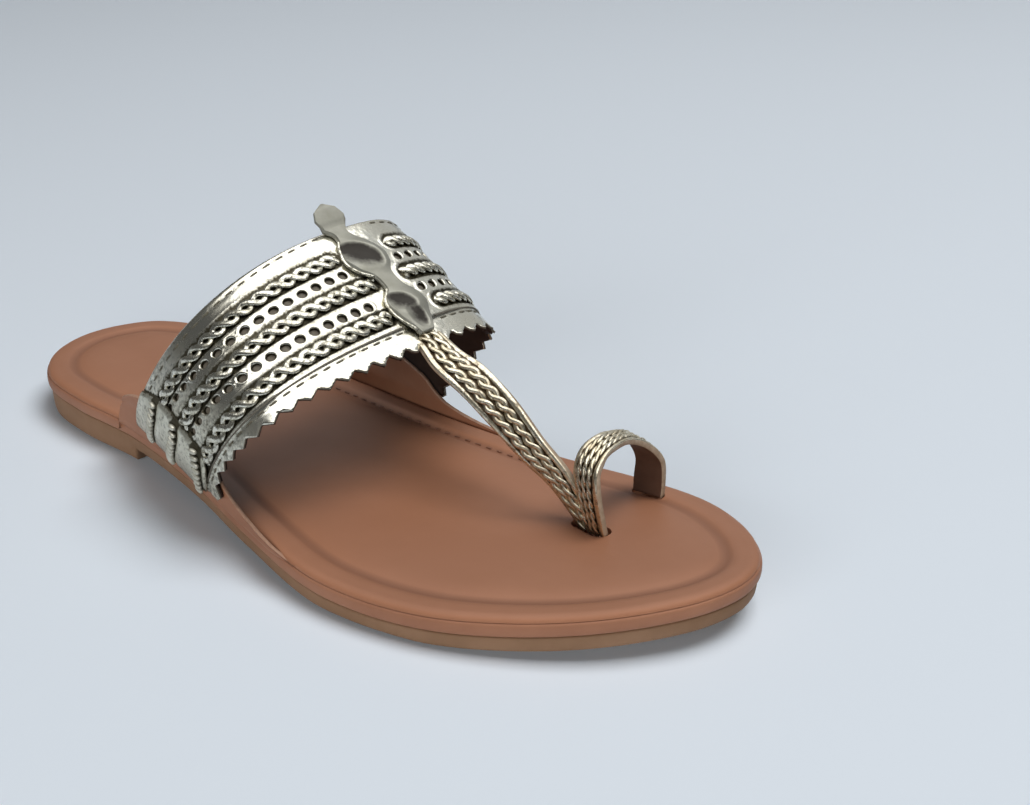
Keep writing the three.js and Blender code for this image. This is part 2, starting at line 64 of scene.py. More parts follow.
# %% Tables of the last, in millimetres
# x, half-width to the big-toe side, half-width to the outer side
PLAN = [
    (2, 10.5, 10.5), (8, 20.5, 20.5), (20, 27, 29), (40, 29, 33), (67, 30, 34), (100, 30, 40),
    (132, 30.5, 48.5), (165, 33.5, 55), (195, 37.5, 51), (216, 36, 41.5), (232, 29, 30),
    (243, 20, 17.5), (248.5, 12, 7.5),
]
HEEL_TIP = (0, 0)
TOE_TIP = (250.5, 3)
# x, height of the board's top face
BOARD_TOP = [
    (0, 12.5), (50, 12.5), (100, 11.5), (150, 9.5), (170, 8.5), (190, 8.5), (215, 10), (251, 14),
]
# a, crest y, crest z, half-widths (outer, inner), widest z, roundness (outer, inner), lower edge z
INSTEP = [
    (64.5, 5.5, 70.5, 47.5, 36.5, 33, 2.3, 3, 18), (90.5, 3, 61, 52, 35.5, 30, 2.5, 3, 15),
    (118, 0, 49, 51.5, 37, 26, 2.8, 3, 13),
]
BOARD_THICKNESS = 3.7
RUBBER_THICKNESS = 5
HEEL_BREAST_X = 66
GAP = 0.3
INSTEP_LEAN = 0.7
BAND_STANDOFF = 2.6
BAND_BACK = 64.5
BAND_WALL = 1.6


def along_table(rows, column, place):
    """Value of one column at a place given in the first column, on a smooth curve through the rows."""
    table = np.asarray(rows, float)
    knots = table[:, 0]
    values = table[:, column]
    before = np.r_[0, np.arange(len(knots) - 1)]
    after = np.r_[np.arange(1, len(knots)), len(knots) - 1]
    slopes = (values[after] - values[before]) / (knots[after] - knots[before])
    at = np.clip(np.asarray(place, float), knots[0], knots[-1])
    i = np.clip(np.searchsorted(knots, at, side="right") - 1, 0, len(knots) - 2)
    span = knots[i + 1] - knots[i]
    u = (at - knots[i]) / span
    rise = 3 * u**2 - 2 * u**3
    bend = slopes[i] * (u - 2 * u**2 + u**3) + slopes[i + 1] * (u**3 - u**2)
    return values[i] * (1 - rise) + values[i + 1] * rise + span * bend


def board_top(x):
    return along_table(BOARD_TOP, 1, x)


def smooth_step(low, high, value):
    u = np.clip((np.asarray(value, float) - low) / (high - low), 0, 1)
    return u * u * (3 - 2 * u)


# %% [markdown]
# The outline is a closed curve through the points of the plan. A centripetal curve is used because it
# never loops or overshoots where points lie close together, as they do at heel and toe.

# %% Outline of the board
def closed_curve(points, steps=60):
    """Closed centripetal curve through the points, as a dense line."""
    points = np.asarray(points, float)
    line = []
    for k in range(len(points)):
        p0, p1, p2, p3 = (points[(k + j - 1) % len(points)] for j in range(4))
        d0, d1, d2 = (np.linalg.norm(q) ** 0.5 for q in (p1 - p0, p2 - p1, p3 - p2))
        m1 = ((p1 - p0) / d0 - (p2 - p0) / (d0 + d1) + (p2 - p1) / d1) * d1
        m2 = ((p2 - p1) / d1 - (p3 - p1) / (d1 + d2) + (p3 - p2) / d2) * d1
        u = np.linspace(0, 1, steps, endpoint=False)[:, None]
        cubic = (2 * p1 - 2 * p2 + m1 + m2) * u**3 + (3 * p2 - 3 * p1 - 2 * m1 - m2) * u**2
        line.append(cubic + m1 * u + p1)
    return np.concatenate(line)


outline = closed_curve(
    [HEEL_TIP]
    + [(x, -outer) for x, _, outer in PLAN]
    + [TOE_TIP]
    + [(x, inner) for x, inner, _ in reversed(PLAN)]
)
toe_index = int(np.argmax(outline[:, 0]))
outer_half = outline[: toe_index + 1]
inner_half = np.vstack([outline[:1], outline[:toe_index - 1:-1]])


def edge_y(side, x):
    """Plan position of the board edge at one side: -1 is the outer side, 1 the big-toe side."""
    half = outer_half if side < 0 else inner_half
    order = np.argsort(half[:, 0])
    return np.interp(x, half[order, 0], half[order, 1])


board_low, board_high = (np.array(corner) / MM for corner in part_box("midsole_board"))
TO_FRAME = np.array([
    board_low[0] - outline[:, 0].min(),
    (board_low[1] + board_high[1] - outline[:, 1].min() - outline[:, 1].max()) / 2,
    0,
])
print("last to frame, mm:", TO_FRAME.round(3))


# %% [markdown]
# The instep band leans back, so its sections are leaning arches. A section has a number, a, and a place
# along the arch, t, which runs from -1 at the outer foot over 0 at the crest to 1 at the inner foot.
# Working out an arch is slow, so a grid of points is made once and a bicubic curve is read from it:
# a straight-line reading would show as facets in a shiny foil.

# %% The instep surface
SECTION_STEP = 0.5
SECTIONS = np.arange(62, 121.1, SECTION_STEP)
ARC_STEPS = 100


def arch_side(a, side):
    """Points of one half of an arch, from the crest down to the band's lower edge."""
    crest_y, crest_z, half_out, half_in, wide_z, round_out, round_in, base_z = (
        float(along_table(INSTEP, column, a)) for column in range(1, 9)
    )
    half, roundness = (half_out, round_out) if side < 0 else (half_in, round_in)
    foot = edge_y(side, a + INSTEP_LEAN * base_z) + side * BAND_STANDOFF
    widest = crest_y + side * half
    angle = np.linspace(0, math.pi / 2, 61)
    y = crest_y + side * half * np.sin(angle) ** (2 / roundness)
    z = wide_z + (crest_z - wide_z) * np.clip(np.cos(angle), 0, 1) ** (2 / roundness)
    u = np.linspace(0.1, 1, 10)
    y = np.r_[y, widest + (foot - widest) * u**2]
    z = np.r_[z, wide_z + (base_z - wide_z) * u]
    return np.column_stack([a + INSTEP_LEAN * z, y, z])


def arc_lengths(points):
    return np.r_[0, np.cumsum(np.linalg.norm(np.diff(points, axis=0), axis=1))]


def evenly(points, count):
    """The same line with points evenly spaced."""
    along = arc_lengths(points)
    wanted = np.linspace(0, along[-1], count)
    return np.column_stack([np.interp(wanted, along, points[:, k]) for k in range(3)])


def padded_grid(grid):
    """The grid with one more row and column at each side, so that a cubic can be read at its edges."""
    rows = np.concatenate([2 * grid[:1] - grid[1:2], grid, 2 * grid[-1:] - grid[-2:-1]])
    left = 2 * rows[:, :1] - rows[:, 1:2]
    right = 2 * rows[:, -1:] - rows[:, -2:-1]
    return np.concatenate([left, rows, right], axis=1)


ARCHES = {side: [arch_side(a, side) for a in SECTIONS] for side in (-1, 1)}
HALF_ARC = {side: np.array([arc_lengths(p)[-1] for p in ARCHES[side]]) for side in (-1, 1)}
GRIDS = {
    side: padded_grid(np.array([evenly(p, ARC_STEPS + 1) for p in ARCHES[side]])) for side in (-1, 1)
}


def cubic_weights(u):
    return np.stack([
        (-u + 2 * u**2 - u**3) / 2,
        (2 - 5 * u**2 + 3 * u**3) / 2,
        (u + 4 * u**2 - 3 * u**3) / 2,
        (-(u**2) + u**3) / 2,
    ])


def band_point(a, t):
    """Points of the band's outer face."""
    a, t = np.broadcast_arrays(np.asarray(a, float), np.asarray(t, float))
    flat_a, flat_t = a.ravel(), np.clip(t.ravel(), -1, 1)
    points = np.zeros((flat_a.size, 3))
    for side in (-1, 1):
        pick = flat_t < 0 if side < 0 else flat_t >= 0
        row = np.clip((flat_a[pick] - SECTIONS[0]) / SECTION_STEP, 0, len(SECTIONS) - 1.001)
        column = np.clip(np.abs(flat_t[pick]) * ARC_STEPS, 0, ARC_STEPS - 0.001)
        i, j = row.astype(int), column.astype(int)
        wi, wj = cubic_weights(row - i), cubic_weights(column - j)
        total = np.zeros((i.size, 3))
        for m in range(4):
            for n in range(4):
                total += (wi[m] * wj[n])[:, None] * GRIDS[side][i + m, j + n]
        points[pick] = total
    return points.reshape(a.shape + (3,))


def unit(vectors):
    return vectors / np.maximum(np.linalg.norm(vectors, axis=-1, keepdims=True), 1e-9)


def band_axes(a, t):
    """Unit vectors at points of the band: forwards, across towards the big-toe side, and outwards."""
    a, t = np.broadcast_arrays(np.asarray(a, float), np.asarray(t, float))
    forwards = unit(band_point(a + 0.4, t) - band_point(a - 0.4, t))
    across = unit(band_point(a, np.minimum(t + 0.01, 1)) - band_point(a, np.maximum(t - 0.01, -1)))
    outwards = unit(np.cross(forwards, across))
    return forwards, across, outwards


def band_offset(a, t, height):
    return band_point(a, t) + band_axes(a, t)[2] * np.asarray(height, float)[..., None]


def arc_at(a, t):
    """Millimetres from the crest along the arch, negative on the outer side."""
    half = np.where(t < 0, np.interp(a, SECTIONS, HALF_ARC[-1]), np.interp(a, SECTIONS, HALF_ARC[1]))
    return t * half


def share_at(a, arc):
    """The place t of a point that is so many millimetres from the crest."""
    half = np.where(arc < 0, np.interp(a, SECTIONS, HALF_ARC[-1]), np.interp(a, SECTIONS, HALF_ARC[1]))
    return arc / half


BAND_MIDDLE = 90
middle_arcs = [float(np.interp(BAND_MIDDLE, SECTIONS, HALF_ARC[side])) for side in (-1, 1)]
print("half arches at the band's middle, mm:", np.round(middle_arcs, 1))

# %% [markdown]
# ## Finishes
# Each finish is a procedural material. Three effects are shared, so they are shader node groups that are
# built once: the pebbled grain of a hide, slow patches of tone, and painted shade that darkens grooves and
# other low places.
# A group gives only heights, colours and roughness. The shader, with its metallic and specular values,
# stays in the material, where each finish sets its own numbers.

# %% Shared shader groups
def new_group(name, inputs, outputs):
    """An empty shader group with float, colour and vector sockets."""
    kinds = {"value": "NodeSocketFloat", "colour": "NodeSocketColor", "vector": "NodeSocketVector"}
    group = bpy.data.node_groups.new(name, "ShaderNodeTree")
    for label, kind in inputs:
        group.interface.new_socket(name=label, in_out="INPUT", socket_type=kinds[kind])
    for label, kind in outputs:
        group.interface.new_socket(name=label, in_out="OUTPUT", socket_type=kinds[kind])
    entry = group.nodes.new("NodeGroupInput")
    leave = group.nodes.new("NodeGroupOutput")
    return group, entry, leave


def add_node(tree, kind, settings=None, values=None):
    """A node with its settings, and with values set on its input sockets."""
    node = tree.nodes.new(kind)
    for key, value in (settings or {}).items():
        setattr(node, key, value)
    for key, value in (values or {}).items():
        node.inputs[key].default_value = value
    return node


def math_node(tree, operation, first, second):
    """A math node; each operand is a socket or a number."""
    node = add_node(tree, "ShaderNodeMath", {"operation": operation})
    for socket, operand in zip(node.inputs, (first, second)):
        if isinstance(operand, (int, float)):
            socket.default_value = operand
        else:
            tree.links.new(operand, socket)
    return node.outputs[0]


def colour_mix(tree, factor, first, second):
    node = add_node(tree, "ShaderNodeMix", {"data_type": "RGBA"})
    for socket, operand in zip((node.inputs[0], node.inputs[6], node.inputs[7]), (factor, first, second)):
        if isinstance(operand, bpy.types.NodeSocket):
            tree.links.new(operand, socket)
        else:
            socket.default_value = operand
    return node.outputs[2]


# Pebbled grain: rounded cells of skin with a softer unevenness under them.
grain_group, entry, leave = new_group(
    "Hide grain", [("Vector", "vector"), ("Cells", "value"), ("Unevenness", "value")], [("Height", "value")]
)
cells = add_node(grain_group, "ShaderNodeTexVoronoi", {"feature": "SMOOTH_F1"}, {"Smoothness": 0.6})
swell = add_node(grain_group, "ShaderNodeTexNoise", values={"Detail": 3.0, "Roughness": 0.55})
grain_group.links.new(entry.outputs["Vector"], cells.inputs["Vector"])
grain_group.links.new(entry.outputs["Cells"], cells.inputs["Scale"])
grain_group.links.new(entry.outputs["Vector"], swell.inputs["Vector"])
slow_scale = math_node(grain_group, "MULTIPLY", entry.outputs["Cells"], 0.12)
grain_group.links.new(slow_scale, swell.inputs["Scale"])
pebble = math_node(grain_group, "MULTIPLY", cells.outputs["Distance"], -0.6)
uneven = math_node(grain_group, "MULTIPLY", swell.outputs["Fac"], entry.outputs["Unevenness"])
grain_group.links.new(math_node(grain_group, "ADD", pebble, uneven), leave.inputs["Height"])

# Tone patches: two colours that drift into each other.
tone_group, entry, leave = new_group(
    "Tone patches",
    [("Vector", "vector"), ("Patches", "value"), ("Light", "colour"), ("Dark", "colour")],
    [("Colour", "colour"), ("Patch", "value")],
)
drift = add_node(tone_group, "ShaderNodeTexNoise", values={"Detail": 4.0, "Roughness": 0.6})
spread = add_node(tone_group, "ShaderNodeMapRange", values={"From Min": 0.35, "From Max": 0.65})
tone_group.links.new(entry.outputs["Vector"], drift.inputs["Vector"])
tone_group.links.new(entry.outputs["Patches"], drift.inputs["Scale"])
tone_group.links.new(drift.outputs["Fac"], spread.inputs["Value"])
tone_group.links.new(
    colour_mix(tone_group, spread.outputs[0], entry.outputs["Light"], entry.outputs["Dark"]),
    leave.inputs["Colour"],
)
tone_group.links.new(spread.outputs[0], leave.inputs["Patch"])

# Painted groove shade: a dark colour painted into the low places, where shade falls, broken up by specks.
painted_shade_group, entry, leave = new_group(
    "Painted groove shade",
    [("Vector", "vector"), ("Groove", "value"), ("Specks", "value"), ("Ragged", "value"),
     ("Clean", "colour"), ("Shade colour", "colour"), ("Clean roughness", "value"), ("Worn", "value")],
    [("Colour", "colour"), ("Roughness", "value")],
)
specks = add_node(painted_shade_group, "ShaderNodeTexNoise", values={"Scale": 900.0, "Detail": 3.0, "Roughness": 0.65})
painted_shade_group.links.new(entry.outputs["Vector"], specks.inputs["Vector"])
ragged = math_node(painted_shade_group, "SUBTRACT", specks.outputs["Fac"], 0.5)
ragged = math_node(painted_shade_group, "MULTIPLY", ragged, entry.outputs["Ragged"])
shade_and_specks = math_node(painted_shade_group, "ADD", entry.outputs["Groove"], entry.outputs["Specks"])
amount = add_node(painted_shade_group, "ShaderNodeMapRange", values={"From Min": 0.22, "From Max": 0.72})
painted_shade_group.links.new(math_node(painted_shade_group, "ADD", shade_and_specks, ragged), amount.inputs["Value"])
painted_shade_group.links.new(
    colour_mix(painted_shade_group, amount.outputs[0], entry.outputs["Clean"], entry.outputs["Shade colour"]),
    leave.inputs["Colour"],
)
dull = math_node(painted_shade_group, "MULTIPLY", amount.outputs[0], 0.3)
rubbed = math_node(painted_shade_group, "MULTIPLY", entry.outputs["Worn"], 0.26)
dull = math_node(painted_shade_group, "ADD", dull, rubbed)
painted_shade_group.links.new(
    math_node(painted_shade_group, "ADD", entry.outputs["Clean roughness"], dull), leave.inputs["Roughness"]
)
print("shader groups:", [g.name for g in bpy.data.node_groups])


# %% [markdown]
# The foil leather is a thin metal film on a hide. It is nearly a mirror, so most of what is seen in it is
# the room, and small crinkles in the film break the reflections up. The plain leathers and the rubber
# are rough plastics with a grain. One function builds them all, and each finish is one call with the
# numbers that make it different.

# %% A finish from its numbers
def finish(name, light, dark, shade_colour, roughness, metallic=0.0, patches=60.0, cells=900.0, unevenness=0.5,
           bump=0.2, bump_mm=0.2, specular=0.5, rough_drift=0.1, specks=0.0, ragged=0.0):
    """A procedural material. Colours are linear; cells and patches are counted per metre. The third colour is
    the painted shade, mixed in where a mesh marks shade.
    """
    made = bpy.data.materials.new(name)
    made.use_nodes = True
    tree = made.node_tree
    shader = tree.nodes["Principled BSDF"]
    shader.inputs["Metallic"].default_value = metallic
    shader.inputs["Specular IOR Level"].default_value = specular
    place = add_node(tree, "ShaderNodeTexCoord").outputs["Object"]
    painted_shade = add_node(tree, "ShaderNodeAttribute", {"attribute_name": "painted_shade"}).outputs["Fac"]
    worn = add_node(tree, "ShaderNodeAttribute", {"attribute_name": "worn"}).outputs["Fac"]

    tone = add_node(tree, "ShaderNodeGroup", {"node_tree": tone_group}, {
        "Patches": patches, "Light": (*light, 1), "Dark": (*dark, 1)})
    tree.links.new(place, tone.inputs["Vector"])
    rough = math_node(tree, "MULTIPLY", tone.outputs["Patch"], rough_drift)
    painted_shade_node = add_node(tree, "ShaderNodeGroup", {"node_tree": painted_shade_group}, {
        "Shade colour": (*shade_colour, 1), "Specks": specks, "Ragged": ragged})
    tree.links.new(place, painted_shade_node.inputs["Vector"])
    tree.links.new(painted_shade, painted_shade_node.inputs["Groove"])
    tree.links.new(worn, painted_shade_node.inputs["Worn"])
    tree.links.new(tone.outputs["Colour"], painted_shade_node.inputs["Clean"])
    tree.links.new(math_node(tree, "ADD", rough, roughness), painted_shade_node.inputs["Clean roughness"])
    tree.links.new(painted_shade_node.outputs["Colour"], shader.inputs["Base Color"])
    tree.links.new(painted_shade_node.outputs["Roughness"], shader.inputs["Roughness"])

    grain = add_node(tree, "ShaderNodeGroup", {"node_tree": grain_group}, {
        "Cells": cells, "Unevenness": unevenness})
    tree.links.new(place, grain.inputs["Vector"])
    relief = add_node(tree, "ShaderNodeBump", values={"Strength": bump, "Distance": bump_mm * MM})
    tree.links.new(grain.outputs["Height"], relief.inputs["Height"])
    tree.links.new(relief.outputs["Normal"], shader.inputs["Normal"])
    return made


FINISHES = {
    "gold": finish(
        "gold_foil_leather", (0.80, 0.78, 0.68), (0.68, 0.65, 0.54), (0.085, 0.075, 0.05), 0.15,
        metallic=1.0, patches=90, cells=700, unevenness=3.0, bump=0.34, bump_mm=0.14, rough_drift=0.12,
        specks=0.08, ragged=1.3),
    "gold_cord": finish(
        "gold_foil_cord", (0.82, 0.80, 0.70), (0.60, 0.57, 0.46), (0.085, 0.075, 0.05), 0.18,
        metallic=1.0, patches=400, cells=1300, unevenness=2.5, bump=0.5, bump_mm=0.14, rough_drift=0.12,
        specks=0.27, ragged=2.2),
    "gold_strap": finish(
        "gold_foil_strap", (0.80, 0.74, 0.59), (0.60, 0.52, 0.37), (0.10, 0.07, 0.042), 0.24,
        metallic=1.0, patches=260, cells=1300, unevenness=2.5, bump=0.5, bump_mm=0.14, rough_drift=0.12,
        specks=0.2, ragged=1.8),
    "gold_panel": finish(
        "gold_foil_worn", (0.69, 0.67, 0.56), (0.56, 0.54, 0.44), (0.085, 0.075, 0.05), 0.30,
        metallic=0.9, patches=200, cells=1100, unevenness=2.5, bump=0.55, bump_mm=0.14, rough_drift=0.12,
        specks=0.22, ragged=1.7),
    "gold_rung": finish(
        "gold_foil_rung", (0.66, 0.645, 0.555), (0.54, 0.52, 0.43), (0.085, 0.075, 0.05), 0.38,
        metallic=0.7, patches=500, cells=1500, unevenness=2.0, bump=0.4, bump_mm=0.12,
        specks=0.1, ragged=1.4),
    "gold_dull": finish(
        "gold_foil_dull", (0.31, 0.305, 0.26), (0.26, 0.255, 0.21), (0.045, 0.04, 0.034), 0.42,
        metallic=0.6, patches=160, cells=1300, unevenness=1.2, bump=0.3, bump_mm=0.10, ragged=0.5),
    "thread": finish(
        "antique_thread", (0.16, 0.145, 0.105), (0.10, 0.088, 0.06), (0.03, 0.025, 0.018), 0.5,
        metallic=0.35, patches=900, cells=4000, unevenness=0.6, bump=0.5, bump_mm=0.08),
    "tan": finish(
        "tan_smooth_leather", (0.360, 0.161, 0.088), (0.322, 0.141, 0.075), (0.15, 0.065, 0.038), 0.47,
        patches=22, cells=1700, unevenness=1.6, bump=0.16, bump_mm=0.12, specular=0.28, rough_drift=0.08),
    "wrap": finish(
        "tan_wrapping_leather", (0.33, 0.150, 0.084), (0.275, 0.122, 0.068), (0.09, 0.04, 0.026), 0.50,
        patches=40, cells=1500, unevenness=1.4, bump=0.2, bump_mm=0.12, specular=0.3),
    "lining": finish(
        "dark_lining", (0.034, 0.018, 0.012), (0.024, 0.012, 0.008), (0.012, 0.006, 0.004), 0.62,
        patches=120, cells=1600, unevenness=0.8, bump=0.2, bump_mm=0.1, specular=0.35),
    "backing": finish(
        "olive_backing_cloth", (0.17, 0.15, 0.115), (0.12, 0.10, 0.075), (0.02, 0.015, 0.01), 0.6,
        patches=500, cells=2600, unevenness=0.8, bump=0.5, bump_mm=0.12, specular=0.4),
    # The dark of the band's cut edges is painted shade under the edges of the foil.
    "dark_edge": finish(
        "dark_edge_painted_shade", (0.13, 0.115, 0.09), (0.09, 0.078, 0.058), (0.04, 0.034, 0.025), 0.5,
        patches=500, cells=2600, unevenness=0.8, bump=0.3, bump_mm=0.1, specular=0.35),
    "strap_back": finish(
        "brown_strap_backing", (0.105, 0.056, 0.037), (0.085, 0.044, 0.029), (0.03, 0.016, 0.01), 0.55,
        patches=150, cells=1700, unevenness=0.8, bump=0.2, bump_mm=0.1, specular=0.3),
    "brown_thread": finish(
        "waxed_brown_thread", (0.21, 0.095, 0.058), (0.17, 0.075, 0.045), (0.09, 0.04, 0.026), 0.5,
        patches=500, cells=2600, unevenness=1.0, bump=0.3, bump_mm=0.1, specular=0.3),
    "pink_edge": finish(
        "waxed_cut_edge", (0.40, 0.235, 0.155), (0.31, 0.17, 0.11), (0.12, 0.08, 0.05), 0.55,
        patches=500, cells=2600, unevenness=1.0, bump=0.3, bump_mm=0.1, specular=0.35),
    "cut_edge": finish(
        "raw_cut_edge", (0.42, 0.33, 0.24), (0.30, 0.22, 0.15), (0.12, 0.08, 0.05), 0.62,
        patches=500, cells=2600, unevenness=1.0, bump=0.4, bump_mm=0.1, specular=0.3),
    "rubber": finish(
        "moulded_rubber", (0.265, 0.155, 0.092), (0.225, 0.130, 0.075), (0.08, 0.045, 0.028), 0.60,
        patches=70, cells=2200, unevenness=0.8, bump=0.25, bump_mm=0.1, specular=0.12),
}
print("finishes:", ", ".join(FINISHES))


# %% [markdown]
# ## Making pieces
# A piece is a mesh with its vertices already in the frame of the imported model, an object at the origin,
# and a few facts: its finishes, the body it rides on, and the plain solids it stands for. Doing all of
# that in one function means that no piece can miss one of them.

# %% One function for every piece
def mesh_from(name, vertices, faces, finishes, painted_shade=None, face_finish=None, worn=None):
    """A mesh object from points of the last, in millimetres."""
    mesh = bpy.data.meshes.new(name)
    points = (np.asarray(vertices, float) + TO_FRAME) * MM
    mesh.from_pydata(points.tolist(), [], [tuple(int(i) for i in f) for f in faces])
    for key in finishes:
        mesh.materials.append(FINISHES[key])
    # Painted shade: a mask on the points that darkens a finish towards its shade colour.
    values = np.zeros(len(vertices)) if painted_shade is None else np.asarray(painted_shade, float)
    mesh.attributes.new("painted_shade", "FLOAT", "POINT").data.foreach_set("value", values.astype(np.float32))
    rubbed = np.zeros(len(vertices)) if worn is None else np.asarray(worn, float)
    mesh.attributes.new("worn", "FLOAT", "POINT").data.foreach_set("value", rubbed.astype(np.float32))
    if face_finish is not None:
        mesh.polygons.foreach_set("material_index", np.asarray(face_finish, np.int32))
    mesh.polygons.foreach_set("use_smooth", np.ones(len(mesh.polygons), bool))
    piece = bpy.data.objects.new(name, mesh)
    bpy.context.scene.collection.objects.link(piece)
    return piece


def face_outwards(piece):
    """Welds doubles and turns every face outwards."""
    shape = bmesh.new()
    shape.from_mesh(piece.data)
    bmesh.ops.remove_doubles(shape, verts=shape.verts, dist=1e-7)
    bmesh.ops.recalc_face_normals(shape, faces=shape.faces)
    if shape.calc_volume(signed=True) < 0:
        bmesh.ops.reverse_faces(shape, faces=shape.faces)
    shape.to_mesh(piece.data)
    shape.free()
    return piece


def hand_in(piece, stands_for=()):
    """The piece rides on the shoe's one body and stands for its plain solids."""
    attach(piece, "root")
    if stands_for:
        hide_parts(*stands_for)
    triangles = sum(len(p.vertices) - 2 for p in piece.data.polygons)
    print(f"{piece.name}: {triangles} triangles")
    return piece


def grid_faces(rows, columns, closed_columns=False):
    """Quads of a grid of rows x columns points."""
    i = np.arange(rows - 1)
    j = np.arange(columns if closed_columns else columns - 1)
    i, j = np.meshgrid(i, j, indexing="ij")
    i2, j2 = (i + 1) % rows, (j + 1) % columns
    corners = [i * columns + j, i2 * columns + j, i2 * columns + j2, i * columns + j2]
    return np.stack(corners, -1).reshape(-1, 4)


def tube_faces(rows, columns):
    """Faces of a closed section that is repeated along a piece, with its two ends capped."""
    faces = [tuple(f) for f in grid_faces(rows, columns, closed_columns=True)]
    return faces + [tuple(range(columns))[::-1], tuple(range((rows - 1) * columns, rows * columns))]


def sheet_between(top, under):
    """Points and faces of a closed sheet between two grids of points: top, under side, then the rim."""
    rows, columns = top.shape[:2]
    count = rows * columns
    rim = [(0, j) for j in range(columns)]
    rim += [(i, columns - 1) for i in range(1, rows)]
    rim += [(rows - 1, j) for j in range(columns - 2, -1, -1)]
    rim += [(i, 0) for i in range(rows - 2, 0, -1)]
    corners = [i * columns + j for i, j in rim]
    following = corners[1:] + corners[:1]
    wall = [(p, q, q + count, p + count) for p, q in zip(corners, following)]
    grid = grid_faces(rows, columns)
    faces = [tuple(f) for f in grid] + [tuple(f[::-1] + count) for f in grid] + wall
    return np.concatenate([top.reshape(-1, 3), under.reshape(-1, 3)]), faces


# %% [markdown]
# ## Geometry Nodes for what repeats
# Two small trees do the repeated work. The first sweeps a flattened cord along a line of points, which
# makes braids and piping. The second sets one shape, such as a stitch or a rung, on each point of a row.
# Both read a vector that each point carries, so that cords and stitches lie flat on a curved face.

# %% The two trees
def geometry_tree(name, inputs):
    tree = bpy.data.node_groups.new(name, "GeometryNodeTree")
    tree.is_modifier = True
    tree.interface.new_socket(name="Geometry", in_out="INPUT", socket_type="NodeSocketGeometry")
    sockets = {}
    for label, kind in inputs:
        sockets[label] = tree.interface.new_socket(name=label, in_out="INPUT", socket_type=kind)
    tree.interface.new_socket(name="Geometry", in_out="OUTPUT", socket_type="NodeSocketGeometry")
    entry = tree.nodes.new("NodeGroupInput")
    leave = tree.nodes.new("NodeGroupOutput")
    return tree, entry, leave, {label: socket.identifier for label, socket in sockets.items()}


def named_vector(tree, attribute):
    node = add_node(tree, "GeometryNodeInputNamedAttribute", {"data_type": "FLOAT_VECTOR"})
    node.inputs["Name"].default_value = attribute
    return node.outputs[0]


cord_tree, entry, leave, CORD_INPUTS = geometry_tree("Cord along lines", [
    ("Width", "NodeSocketFloat"), ("Thickness", "NodeSocketFloat"), ("Sides", "NodeSocketInt"),
    ("Finish", "NodeSocketMaterial"),
])
link = cord_tree.links.new
lines = add_node(cord_tree, "GeometryNodeMeshToCurve")
aligned = add_node(cord_tree, "GeometryNodeSetCurveNormal", {"mode": "FREE"})
circle = add_node(cord_tree, "GeometryNodeCurvePrimitiveCircle", values={"Radius": 0.5})
flatten = add_node(cord_tree, "GeometryNodeTransform")
size = add_node(cord_tree, "ShaderNodeCombineXYZ", values={"Z": 1.0})
sweep = add_node(cord_tree, "GeometryNodeCurveToMesh", values={"Fill Caps": True})
smooth = add_node(cord_tree, "GeometryNodeSetShadeSmooth")
realize = add_node(cord_tree, "GeometryNodeRealizeInstances")
dress = add_node(cord_tree, "GeometryNodeSetMaterial")
link(entry.outputs["Geometry"], lines.inputs[0])
link(lines.outputs[0], aligned.inputs["Curve"])
link(named_vector(cord_tree, "face_up"), aligned.inputs["Normal"])
link(entry.outputs["Sides"], circle.inputs["Resolution"])
link(entry.outputs["Thickness"], size.inputs["X"])
link(entry.outputs["Width"], size.inputs["Y"])
link(circle.outputs[0], flatten.inputs["Geometry"])
link(size.outputs[0], flatten.inputs["Scale"])
link(aligned.outputs[0], sweep.inputs["Curve"])
link(flatten.outputs[0], sweep.inputs["Profile Curve"])
link(sweep.outputs[0], smooth.inputs[0])
link(smooth.outputs[0], realize.inputs[0])
link(realize.outputs[0], dress.inputs["Geometry"])
link(entry.outputs["Finish"], dress.inputs["Material"])
link(dress.outputs[0], leave.inputs["Geometry"])

row_tree, entry, leave, ROW_INPUTS = geometry_tree("Shapes on a row", [
    ("Shape", "NodeSocketObject"), ("Finish", "NodeSocketMaterial"),
])
link = row_tree.links.new
shape_info = add_node(row_tree, "GeometryNodeObjectInfo")
turn = add_node(row_tree, "FunctionNodeAxesToRotation", {"primary_axis": "Z", "secondary_axis": "X"})
copies = add_node(row_tree, "GeometryNodeInstanceOnPoints")
smooth = add_node(row_tree, "GeometryNodeSetShadeSmooth")
realize = add_node(row_tree, "GeometryNodeRealizeInstances")
dress = add_node(row_tree, "GeometryNodeSetMaterial")
to_points = add_node(row_tree, "GeometryNodeMeshToPoints")
link(entry.outputs["Shape"], shape_info.inputs["Object"])
link(entry.outputs["Geometry"], to_points.inputs[0])
link(to_points.outputs[0], copies.inputs["Points"])
link(shape_info.outputs["Geometry"], copies.inputs["Instance"])
link(named_vector(row_tree, "face_up"), turn.inputs["Primary Axis"])
link(named_vector(row_tree, "along"), turn.inputs["Secondary Axis"])
link(turn.outputs[0], copies.inputs["Rotation"])
link(copies.outputs[0], realize.inputs[0])
link(realize.outputs[0], smooth.inputs[0])
link(smooth.outputs[0], dress.inputs["Geometry"])
link(entry.outputs["Finish"], dress.inputs["Material"])
link(dress.outputs[0], leave.inputs["Geometry"])


def guide_mesh(name, lines, vectors):
    """A mesh of loose lines whose points carry vectors. lines is a list of arrays of points."""
    vertices = (np.concatenate(lines) + TO_FRAME) * MM
    edges = []
    start = 0
    for line in lines:
        edges += [(start + k, start + k + 1) for k in range(len(line) - 1)]
        start += len(line)
    mesh = bpy.data.meshes.new(name)
    mesh.from_pydata(vertices.tolist(), edges, [])
    for key, values in vectors.items():
        data = mesh.attributes.new(key, "FLOAT_VECTOR", "POINT").data
        data.foreach_set("vector", np.concatenate(values).astype(np.float32).ravel())
    guide = bpy.data.objects.new(name, mesh)
    bpy.context.scene.collection.objects.link(guide)
    return guide


